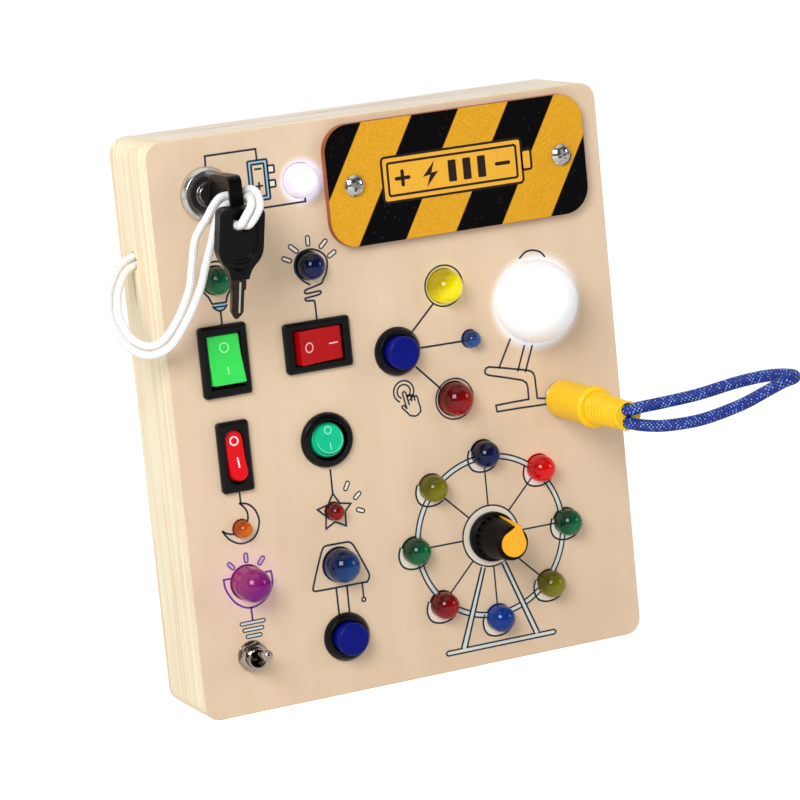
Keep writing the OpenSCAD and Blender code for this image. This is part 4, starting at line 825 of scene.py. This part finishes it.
# %% Graphs and materials
class Graph:
    """A tree of nodes under construction. node() makes any node: settings first, then its inputs."""

    def __init__(self, tree):
        self.tree = tree

    def node(self, kind, settings=None, inputs=(), output=0):
        made = self.tree.nodes.new("ShaderNode" + kind)
        for key, value in (settings or {}).items():
            if key == "stops":
                band = made.color_ramp
                while len(band.elements) < len(value):
                    band.elements.new(0.5)
                for element, (position, colour) in zip(band.elements, value):
                    element.position, element.color = position, colour
            else:
                setattr(made, key, value)
        for key, value in (inputs.items() if isinstance(inputs, dict) else enumerate(inputs)):
            if isinstance(value, Value):
                self.tree.links.new(value.socket, made.inputs[key])
            else:
                made.inputs[key].default_value = value
        return Value(self, made.outputs[output])

    def axes(self, vector=None):
        made = self.node("SeparateXYZ", inputs=(vector or self.place,))
        return [Value(self, socket) for socket in made.socket.node.outputs]

    def scaled(self, scale):
        return self.node("VectorMath", {"operation": "MULTIPLY"}, (self.place, scale))

    def noise(self, vector, scale=1.0, detail=2.0, roughness=0.5):
        return self.node("TexNoise", inputs={"Vector": vector, "Scale": scale, "Detail": detail,
                                             "Roughness": roughness})

    def mix(self, factor, a, b, blend="MIX"):
        return self.node("Mix", {"data_type": "RGBA", "blend_type": blend}, {0: factor, 6: a, 7: b}, output=2)

    def ramp(self, value, *stops):
        return self.node("ValToRGB", {"stops": stops}, (value,))

    def bump(self, height, distance, strength=1.0):
        return self.node("Bump", inputs={"Height": height, "Distance": distance, "Strength": strength})

    def distance(self, x, z):
        """How far a point is from the line through (x, z), given in millimetres, along y."""
        return self.node("VectorMath", {"operation": "DISTANCE"}, (self.scaled((1, 0, 1)), (x * MM, 0, z * MM)),
                         output="Value")


SOCKETS = {"base": "Base Color", "roughness": "Roughness", "metallic": "Metallic", "normal": "Normal",
           "specular": "Specular IOR Level", "glow": "Emission Color", "glow_strength": "Emission Strength",
           "sheen": "Sheen Weight", "ior": "IOR"}


class Shader(Graph):
    """A material: a graph that reads object coordinates and ends in a Principled BSDF."""

    def __init__(self, name):
        self.material = bpy.data.materials.new(name)
        self.material.use_nodes = True
        super().__init__(self.material.node_tree)
        self.surface = self.tree.nodes["Principled BSDF"]
        self.place = self.node("TexCoord", output="Object")

    def finish(self, **sockets):
        """Links or sets the named sockets of the shader and gives the finished material."""
        for key, value in sockets.items():
            socket = self.surface.inputs[SOCKETS[key]]
            if isinstance(value, Value):
                self.tree.links.new(value.socket, socket)
            else:
                socket.default_value = value
        return self.material


def wear(piece, material):
    piece.data.materials.clear()
    piece.data.materials.append(material)


def darker(tone, share):
    """The same colour with every channel at this share of its light."""
    return tuple(share * c for c in tone[:3]) + (1.0,)


print("shader sockets in use:", ", ".join(SOCKETS.values()))

# %% [markdown]
# ## Wood
# Planed wood shows long soft bands of early and late growth, fine fibres along the grain and
# short dark pores. All three are noise stretched along one axis, by scaling the coordinates
# before the noise reads them. Object coordinates are metres here, so each scale is real.

# %% Grain
def wood_tone(shader, along, light, dark, fibre, vivid=0.5):
    """Bands, fibres and mottling stretched along one axis; returns colour and height."""
    stretch = lambda across, length: tuple(length if k == "xyz".index(along) else across for k in range(3))
    bands = shader.noise(shader.scaled(stretch(110, 7)), 1.0, 3.0, 0.55)
    fibres = shader.noise(shader.scaled(stretch(2400, 90)), 1.0, 3.0, 0.6)
    mottle = shader.noise(shader.scaled(stretch(170, 90)))
    tone = shader.mix(bands.ramped(0.32, 2.2), light, dark)
    tone = shader.mix(((fibres - 0.45).clamped() * 1.4 + (mottle - 0.5).clamped()) * vivid, tone, fibre)
    cloud = shader.noise(shader.place, 26.0, 3.0, 0.6)
    return shader.mix((cloud - 0.46).clamped() * vivid * 2.2, tone, fibre), fibres


def streaks(shader, along, tone, line):
    """Reddish growth lines along the length: thin where a stretched noise crosses its middle."""
    stretch = tuple(5 if k == "xyz".index(along) else 330 for k in range(3))
    run = shader.noise(shader.scaled(stretch))
    wide = shader.noise(shader.scaled(tuple(c * 0.3 for c in stretch)), detail=1.0)
    return shader.mix((1 - abs(run - 0.5) * 16).clamped() * wide.ramped(0.38, 3.5) * 0.75, tone, line)


print("a band of growth is about", round(1000 / 110), "mm wide and", round(1000 / 7), "mm long")

# %% [markdown]
# ## The panel
# The panel is a board of glued layers with a printed face. Three sheets of mesh would have to
# meet without a gap, so one material looks at the depth y of each point and picks the face, the
# edge or the glue behind it. The face also takes the glow of the lit lamps, as light that falls
# off round each of them.

# %% Panel
PURPLE = (-54.8, 39.2)   # the purple lamp's (x, z)
lit = [  # centre x and z, lamp radius, reach of the glow, colour, strength
    ((-25.0, 153.2), 5.0, 3.2, srgb(150, 168, 218), 1.5),
    (PURPLE, 5.0, 12.0, srgb(215, 110, 225), 0.22),
    ((16.7, 116.2), 5.0, 5.0, srgb(215, 225, 40), 0.2),
    ((42.3, 56.8), 4.0, 5.0, srgb(255, 90, 90), 0.2),
    ((46.3, 107.0), 12.0, 4.4, srgb(139, 173, 203), 1.6),
]


def glow_colour(shader):
    """Sum over the lit lamps of colour times the square of 1 - (distance - radius) / reach."""
    total = srgb(0, 0, 0)
    for centre, r, reach, colour, strength in lit:
        near = (1 - (shader.distance(*centre) - r * MM) / (reach * MM)).clamped()
        total = shader.mix(near * near * strength, total, colour, "ADD")
    return total


def panel_wood():
    """Printed face in front, pale edge behind it, and the tan layers of glue behind that."""
    shader = Shader("panel_wood")
    face, height = wood_tone(shader, "z", srgb(223, 198, 170), srgb(217, 191, 162), srgb(198, 170, 139), 0.4)
    edge, _ = wood_tone(shader, "z", srgb(253, 242, 214), srgb(251, 233, 199), srgb(236, 208, 166))
    edge = streaks(shader, "z", edge, srgb(236, 196, 150))
    y = shader.axes()[1]
    front = y < -0.01488
    edge = shader.mix((y > -0.01035) * 0.45, edge, srgb(206, 174, 132))
    return shader.finish(base=shader.mix(front, edge, face), glow_strength=1.0, specular=0.35,
                         glow=shader.mix(front, srgb(0, 0, 0), glow_colour(shader)),
                         roughness=0.52 + height * 0.1, normal=shader.bump(height, 0.00003, 0.4))


materials = {"panel_wood": panel_wood()}
print("panel glows round", len(lit), "lamps")

# %% [markdown]
# ## The case
# Sides, rails and back are plain pine, sawn along their length, so the grain stands upright on
# the sides and the back and lies along the rails. They differ in direction and tone only, and one
# function with a table makes them all. Below its bore the left side has a soft brown streak, and a
# small dark spot sits on the bore's upper lip. These ovals are mixed in by their place, where a
# painted picture would first need the side to be unwrapped.

# %% Case
def pine(name, along, light, dark, fibre, line, spots=()):
    """Plain wood; each spot is a soft oval on a side, given by its middle and half sizes in y and z."""
    shader = Shader(name)
    tone, height = wood_tone(shader, along, light, dark, fibre)
    tone = streaks(shader, along, tone, line)
    _, y, z = shader.axes()
    for (cy, cz), (half_y, half_z), colour, strength in spots:
        far = ((y - cy * MM) / (half_y * MM)) ** 2 + ((z - cz * MM) / (half_z * MM)) ** 2
        tone = shader.mix((1 - far).clamped() * strength, tone, colour)
    return shader.finish(base=tone, roughness=0.55 + height * 0.1, specular=0.35,
                         normal=shader.bump(height, 0.00005, 0.5))


upright = (253, 244, 216), (253, 237, 201), (244, 218, 176), (238, 192, 142)
bore_marks = [((5.4, 128.0), (1.1, 7.5), srgb(206, 158, 112), 0.8),   # a soft brown streak below the bore
          ((3.4, 137.0), (0.7, 0.8), srgb(70, 50, 36), 1.0)]      # the bore's upper lip
for finish, name, along, tones, spots in (
        ("frame_wood", "frame_wood_upright", "z", upright, ()),
        ("frame_left_wood", "frame_wood_left", "z", upright, bore_marks),
        ("frame_rail_wood", "frame_wood_lying", "x",
         ((255, 248, 234), (250, 234, 214), (228, 200, 166), (196, 146, 106)), ()),
        ("back_wood", "back_wood", "z",
         ((226, 200, 166), (210, 180, 142), (180, 146, 106), (176, 138, 98)), ())):
    materials[finish] = pine(name, along, *(srgb(*tone) for tone in tones), spots)
print("woods", list(materials))

# %% [markdown]
# ## The striped cover
# Slanted black bands on gold glitter. A slanted coordinate, x less a share of z, turns the
# bands into a repeating number line: its distance from the nearest band's middle decides the
# colour. The glitter is a Voronoi cell pattern in which each cell takes its own brightness.

# %% Cover material
def cover_board():
    """The fraction of (x - 0.575 z) / spacing grows from 0 to 1 over a gold and a black band; its middle
    half is black."""
    shader = Shader("cover_board")
    x, y, z = shader.axes()
    gap = abs(((x - (z - 0.150) * 0.575 - 0.0076) / 0.0314 + 0.5).math("FRACT") - 0.5)
    black = gap.ramped(0.2484, -90)
    flakes = shader.node("TexVoronoi", inputs={"Vector": shader.place, "Scale": 3600.0}, output="Color")
    flake = shader.node("SeparateColor", inputs=(flakes,))
    gold = shader.ramp(flake, (0.0, srgb(213, 152, 30)), (0.6, srgb(220, 160, 36)), (1.0, srgb(230, 172, 54)))
    dust = (flake > 0.995) * 0.35
    front = y < -0.0178
    wood, _ = wood_tone(shader, "x", srgb(176, 104, 70), srgb(140, 78, 52), srgb(96, 50, 36))
    face = shader.mix(black, gold, shader.mix(dust * 0.7, srgb(4, 3, 5), srgb(130, 110, 90)))
    return shader.finish(base=shader.mix(front, wood, face), roughness=0.5 - black * 0.1,
                         metallic=(1 - black) * front * 0.12, specular=0.08,
                         normal=shader.bump(flake * (1 - black) * front, 0.00004, 0.4))


materials["cover_board"] = cover_board()
print("cover has", len(materials["cover_board"].node_tree.nodes), "nodes")

# %% [markdown]
# ## Metal
# Turned and plated metal varies in roughness from handling, and fine scratches run along it. Both
# are noise. Colour and roughness carry the look, as real wear does, and the bump is only a hint.

# %% Metals
def metal(name, tone, rough, worn=0.82):
    shader = Shader(name)
    cloud = shader.noise(shader.place, 900.0, 3.0)
    scratch = shader.noise(shader.scaled((5000, 5000, 300)))
    return shader.finish(base=shader.mix(cloud, tone, darker(tone, worn)), metallic=1.0,
                         roughness=rough + cloud * 0.06 + scratch * 0.05, normal=shader.bump(scratch, 0.00001, 0.3))


def lock_metal(name, near_r, far_r):
    """Bright plated metal, dark between two distances from the lock's axis, in millimetres."""
    shader = Shader(name)
    cloud = shader.noise(shader.place, 900.0, 3.0)
    far = shader.distance(-54.8, 153.5)
    dark = (far > near_r * MM) * (far < far_r * MM)
    base = shader.mix(dark, shader.mix(cloud, srgb(222, 220, 216), srgb(192, 188, 182)), srgb(46, 40, 38))
    return shader.finish(base=base, metallic=0.92 - dark * 0.5, roughness=0.12 + cloud * 0.08 + dark * 0.2)


for name, tone, *finish in (
        ("steel", (205, 206, 208), 0.2), ("nickel", (214, 212, 208), 0.07),
        ("dark_nickel", (196, 184, 174), 0.06, 0.75), ("key_steel", (70, 57, 50), 0.14, 0.5)):
    materials[name] = metal(name, srgb(*tone), *finish)
materials["lock_plating"] = lock_metal("lock_plating", 3.7, 5.2)
materials["lock_core_metal"] = lock_metal("lock_core_metal", 0.0, 2.5)
print("materials so far", len(materials))

# %% [markdown]
# ## Plastic
# Moulded plastic is one colour with a faint orange-peel surface. Black parts get a low specular
# level, because a full one would turn them grey in a bright room.

# %% Plastics
def plastic(name, tone, deep, rough=0.3, specular=0.5):
    shader = Shader(name)
    cloud = shader.noise(shader.place, 300.0, 2.0)
    peel = shader.noise(shader.place, 2600.0, 2.0)
    return shader.finish(base=shader.mix(cloud, tone, deep), roughness=rough + peel * 0.08,
                         specular=specular, normal=shader.bump(peel, 0.00002, 0.25))


for name, tone, deep, *finish in (
        ("black_plastic", (9, 7, 9), (6, 5, 6), 0.42, 0.1), ("black_gloss", (8, 7, 9), (5, 5, 6), 0.22, 0.22),
        ("key_black", (6, 5, 7), (4, 4, 5), 0.26, 0.16), ("cell_wrap", (40, 60, 120), (30, 46, 96), 0.3),
        ("green_paddle", (60, 216, 88), (52, 206, 80), 0.3, 0.25),
        ("red_paddle", (184, 8, 14), (172, 5, 10), 0.28, 0.22),
        ("slim_paddle", (222, 14, 26), (210, 10, 20), 0.28, 0.25),
        ("teal_paddle", (18, 194, 144), (12, 180, 130), 0.24, 0.3),
        ("blue_cap", (2, 14, 122), (2, 10, 108), 0.3, 0.14),
        ("knob_yellow", (250, 180, 36), (244, 170, 28), 0.35, 0.35),
        ("plug_yellow", (254, 206, 22), (248, 194, 14), 0.36, 0.35),
        ("circuit_board", (20, 90, 50), (16, 76, 42), 0.35)):
    materials[name] = plastic(name, srgb(*tone), srgb(*deep), *finish)
print("materials so far", len(materials))

# %% [markdown]
# ## Lamps
# A lamp's lens is clear coloured resin: light falls in from one side and gathers at the other, so
# its colour is deep where light enters and pale where it collects. Real refraction would need
# many more samples and would be lost in the export, so the normal picks the tone instead.

# %% Lenses
def lens(name, tone, deep, pale, glow=None, strength=0.0, low=None):
    """Deep where the normal faces up and left, pale low on the right, tone between. A lens whose
    height is under low, in millimetres, is a lighter blue than the rest of its colour."""
    shader = Shader(name)
    normal = shader.node("NewGeometry", output="Normal")
    turned = shader.node("VectorMath", {"operation": "DOT_PRODUCT"}, (normal, (0.66, 0.10, -0.74)), output="Value")
    swirl = shader.noise(shader.place, 240.0, 1.0) * 0.12
    base = shader.ramp(turned * 0.5 + 0.42 + swirl, (0.12, deep), (0.45, tone), (1.0, pale))
    if low:
        base = shader.mix((shader.axes()[2] < low * MM) * 0.85, base, srgb(4, 52, 138))
    lights = {"glow": shader.mix(0.85, base, glow), "glow_strength": strength} if glow else {}
    return shader.finish(base=base, roughness=0.02 + swirl * 0.1, specular=0.36, ior=1.5, **lights)


for name, *tones, extra in (
        ("globe_white", (246, 247, 250), (240, 241, 246), (226, 229, 236),
         {"glow": (252, 252, 255), "strength": 0.14}),
        ("lamp_white", (236, 230, 246), (226, 218, 240), (244, 240, 250),
         {"glow": (246, 238, 255), "strength": 0.22}),
        ("lamp_green", (6, 96, 56), (2, 50, 30), (14, 116, 72), {}),
        ("lamp_navy", (6, 20, 72), (2, 6, 34), (14, 38, 104), {"low": 25}),
        ("lamp_orange", (204, 92, 4), (150, 56, 2), (230, 134, 26), {}),
        ("lamp_crimson", (136, 4, 12), (82, 1, 6), (168, 12, 22), {}),
        ("lamp_purple", (108, 5, 100), (128, 34, 90), (112, 10, 128), {"glow": (176, 24, 160), "strength": 0.08}),
        ("lamp_blue", (18, 54, 112), (6, 22, 62), (34, 86, 146), {}),
        ("lamp_sky", (36, 78, 138), (16, 40, 92), (60, 110, 170), {}),
        ("lamp_yellow", (236, 218, 4), (150, 128, 2), (250, 242, 40), {"glow": (250, 236, 4), "strength": 0.14}),
        ("lamp_olive", (120, 116, 6), (78, 76, 3), (146, 142, 24), {}),
        ("lamp_lit_red", (212, 4, 12), (164, 2, 6), (236, 24, 30), {"glow": (255, 4, 12), "strength": 0.07})):
    if "glow" in extra:
        extra["glow"] = srgb(*extra["glow"])
    materials[name] = lens(name, *(srgb(*tone) for tone in tones), **extra)
print("materials so far", len(materials))

# %% [markdown]
# ## Cord
# A flat colour would make a cord look like rubber. Its colour follows its plaiting instead, so it
# reads the UV map that its tube carries: length along, in millimetres, and turns round. Each
# crossing of two lanes is then painted bright on its crown and painted in shade at its border, and
# some crowns take a painted highlight.

# %% Cord finish
def cord_material(name, tone, deep, painted_glint, plaits, pitch, shine, rough, fuzz=0.2):
    """Two sets of lanes wind round the cord; a cell where they cross is painted in shade, the deep
    colour, at its border and painted bright on its crown, and some crowns take a painted highlight."""
    shader = Shader(name)
    u, v, _ = shader.axes(shader.node("TexCoord", output="UV"))
    turn = u * (1 / pitch)
    ways = [(v + turn) * (plaits / 2), (v - turn) * (plaits / 2)]
    one, two = (way.math("FRACT") for way in ways)
    thread = shader.noise(shader.node("CombineXYZ", inputs=(one * 9, two * 9, u * 0.3)))
    crown = (1 - abs(one - 0.5) * 2) * (1 - abs(two - 0.5) * 2)
    cell = shader.node("CombineXYZ", inputs=(*(way.math("FLOOR") for way in ways), 0.0))
    lane = shader.node("TexWhiteNoise", {"noise_dimensions": "2D"}, {"Vector": cell})
    # painted shade: each cell darkens to the deep colour at its border, between the plaits
    body = shader.mix((crown * 2.2).clamped(), deep, tone)
    # painted highlight on the crowns of some cells
    body = shader.mix(crown.ramped(0.3, 3) * (lane > shine) * (thread + 0.3).clamped(), body, painted_glint)
    return shader.finish(base=body, roughness=rough + thread * 0.1, sheen=fuzz, specular=0.45,
                         normal=shader.bump(thread * 0.5 + crown, 0.00012, 0.6))


# colours: the cord's tone, the painted shade between plaits, the painted highlight on crowns
materials["key_cord"] = cord_material("key_cord", srgb(250, 249, 247), srgb(228, 225, 223), srgb(255, 255, 255),
                                      plaits=12, pitch=6.0, shine=0.5, rough=0.7)
materials["loop_cord"] = cord_material("loop_cord", srgb(8, 58, 184), srgb(2, 12, 62), srgb(150, 196, 252),
                                       plaits=16, pitch=9.5, shine=0.5, rough=0.34, fuzz=0.0)
print("materials", len(materials))

# %% [markdown]
# ## Ink
# Printed ink is flat, matt and a little worn. It is too thin to shade, so its colour does the
# work: a stretched noise fades it in places, and beside the purple lamp the lamp's light is
# painted into it, by its distance from there.

# %% Ink
def ink_material(name, tone, faded, purple_lamp_light=None):
    """Ink with a worn grain; the last colour is the purple lamp's light, painted into the ink beside that lamp."""
    shader = Shader(name)
    grain = shader.noise(shader.scaled((1500, 1500, 220)))
    base = shader.mix(grain.ramped(0.45, 1.5), tone, faded)
    if purple_lamp_light:
        # painted light of the purple lamp: full within about 8 mm of its middle, gone by 14 mm
        base = shader.mix((2.3 - shader.distance(*PURPLE) / (6 * MM)).clamped(), base, purple_lamp_light)
    return shader.finish(base=base, roughness=0.6, specular=0.3)


# the last colour given to the line and tint inks is the purple lamp's painted light
wear(lines, ink_material("line_ink", srgb(26, 42, 60), srgb(38, 54, 70), srgb(104, 50, 140)))
for piece, tone in zip(tints, (srgb(208, 211, 203), srgb(232, 220, 204), srgb(146, 188, 208))):
    wear(piece, ink_material(piece.name + "_ink", tone, darker(tone, 0.94), srgb(196, 168, 200)))
wear(sign_plate, ink_material("sign_gold", srgb(229, 170, 48), srgb(216, 156, 40)))
wear(sign_lines, ink_material("sign_ink", srgb(30, 11, 10), srgb(42, 18, 15)))
# the last piece is the painted highlight on the round paddle's rim, in a lighter teal
for piece, tone in zip(marks_and_rim_highlight, (srgb(158, 246, 168), srgb(246, 190, 190), srgb(252, 226, 226), srgb(150, 232, 204),
                               srgb(112, 222, 186))):
    wear(piece, ink_material(piece.name + "_ink", tone, darker(tone, 0.92)))
print("inked", len(tints) + len(marks_and_rim_highlight) + 3, "pieces")

# %% [markdown]
# ## Dressing the pieces
# Most nodes wear the material of their slot. A few slots hold pieces that differ in real life, such
# as the nuts and the lock, so these nodes are named with a finish of their own.

# %% Dressing
skin_of = {
    "frame_rails": "frame_rail_wood", "main_key_head": "key_black", "spare_key_head": "key_black",
    "main_key_blade": "key_steel", "spare_key_blade": "key_steel", "lock_body": "lock_plating",
    "lock_core": "lock_core_metal", "frame_left": "frame_left_wood", "screws": "nickel",
    "toggle_body": "dark_nickel", "mounting_nuts": "dark_nickel", "toggle_lever": "dark_nickel",
}
for node, piece in refined.items():
    wear(piece, materials[skin_of.get(node, slot_of[node])])
wear(round_paddle, materials["teal_paddle"])
wear(groove, materials["nickel"])
for piece in (*strands, outer_knot, stop_knot):
    wear(piece, materials["key_cord"])
wear(loop, materials["loop_cord"])
print("dressed", len(refined) + len(strands) + 5, "pieces")

# %% [markdown]
# ## Light
# One large soft light stands by the camera, a dim one far to the right, and a white world fills
# the shadows. Their sum on the panel is about one, so colours come out as they are written. A
# point lamp would cut hard shadows, where a wide square one gives them soft edges.

# %% Lights
CENTRE = Vector((0, 0, 0.085))   # the middle of the board, where the lights aim


def softbox(name, azimuth, elevation, distance, size, power):
    """A square light on a sphere round the board: azimuth to the right, elevation up, in degrees."""
    a, e = math.radians(azimuth), math.radians(elevation)
    place = CENTRE + distance * Vector((math.sin(a) * math.cos(e), -math.cos(a) * math.cos(e), math.sin(e)))
    data = bpy.data.lights.new(name, "AREA")
    data.shape, data.size, data.energy = "SQUARE", size, power
    lamp = linked(name, data)
    lamp.location = place
    lamp.rotation_euler = (CENTRE - place).to_track_quat("-Z", "Y").to_euler()
    print(name, "stands", round((CENTRE - place).length, 2), "m away")


softbox("key light", -41, 30, 1.0, 0.45, 7.2)
softbox("side light", 57, 14, 1.1, 0.35, 1.4)

# %% [markdown]
# ## The room
# The world stands for the room, so that no walls have to be built. The camera sees it white and
# its light is even. Reflections see a wall that is bright behind the board and darker in front of
# it, as in a studio, so that black plastic stays black and metal shows both.

# %% World
def seen(graph):
    """One where the ray is the camera's, a reflection or goes through glass, else zero."""
    rays = graph.node("LightPath").socket.node.outputs
    camera_ray, glossy, through = (Value(graph, rays[name]) for name in (
        "Is Camera Ray", "Is Glossy Ray", "Is Transmission Ray"))
    return camera_ray, camera_ray.math("MAXIMUM", glossy).math("MAXIMUM", through)


def blend_shaders(graph, factor, a, b, output):
    mixed = graph.node("MixShader", inputs={0: factor, 1: a, 2: b})
    graph.tree.links.new(mixed.socket, graph.tree.nodes[output].inputs["Surface"])


world = bpy.data.worlds.new("studio")
bpy.context.scene.world = world
world.use_nodes = True
room = Graph(world.node_tree)
camera_ray, shown = seen(room)
way = room.node("SeparateXYZ", inputs=(room.node("TexCoord"),)).socket.node.outputs
left, behind, above = (Value(room, way[axis]) for axis in "XYZ")
wall = behind.ramped(-0.2, 2.2).math("MAXIMUM", above.ramped(0.72, 4)).math("MAXIMUM", left.ramped(-0.86, -8))
plain = room.node("Background", inputs={"Color": (1, 1, 1, 1), "Strength": 0.5})
white = room.node("Background", inputs={"Color": (1, 1, 1, 1),
                                        "Strength": (wall * 0.92 + 0.08).math("MAXIMUM", camera_ray)})
blend_shaders(room, shown, plain, white, "World Output")
print("world has", len(world.node_tree.nodes), "nodes")

# %% [markdown]
# ## Floor
# A wide sheet of pale paper carries the board and its shadow. Its own light is added for the
# camera alone, so it fades into the white behind it without lighting the board from below.

# %% Floor
FLOOR_HALF = 1500   # half its side, in millimetres
u = np.linspace(-FLOOR_HALF, FLOOR_HALF, 4)
floor = surface("floor", np.stack([*np.meshgrid(u, u, indexing="ij"), np.zeros((4, 4))], -1))
paper = bpy.data.materials.new("floor_paper")
paper.use_nodes = True
sheet = Graph(paper.node_tree)
skin = sheet.tree.nodes["Principled BSDF"]
skin.inputs["Base Color"].default_value = (0.8, 0.8, 0.8, 1)
skin.inputs["Roughness"].default_value = 0.9
skin.inputs["Specular IOR Level"].default_value = 0.0
matt = Value(sheet, skin.outputs[0])
lift = sheet.node("Emission", inputs={"Color": (1, 1, 1, 1), "Strength": 0.62})
blend_shaders(sheet, seen(sheet)[0], matt, sheet.node("AddShader", inputs=(matt, lift)), "Material Output")
wear(floor, paper)
bpy.context.scene.view_settings.view_transform = "Standard"
print("floor is", 2 * FLOOR_HALF * MM, "m wide")
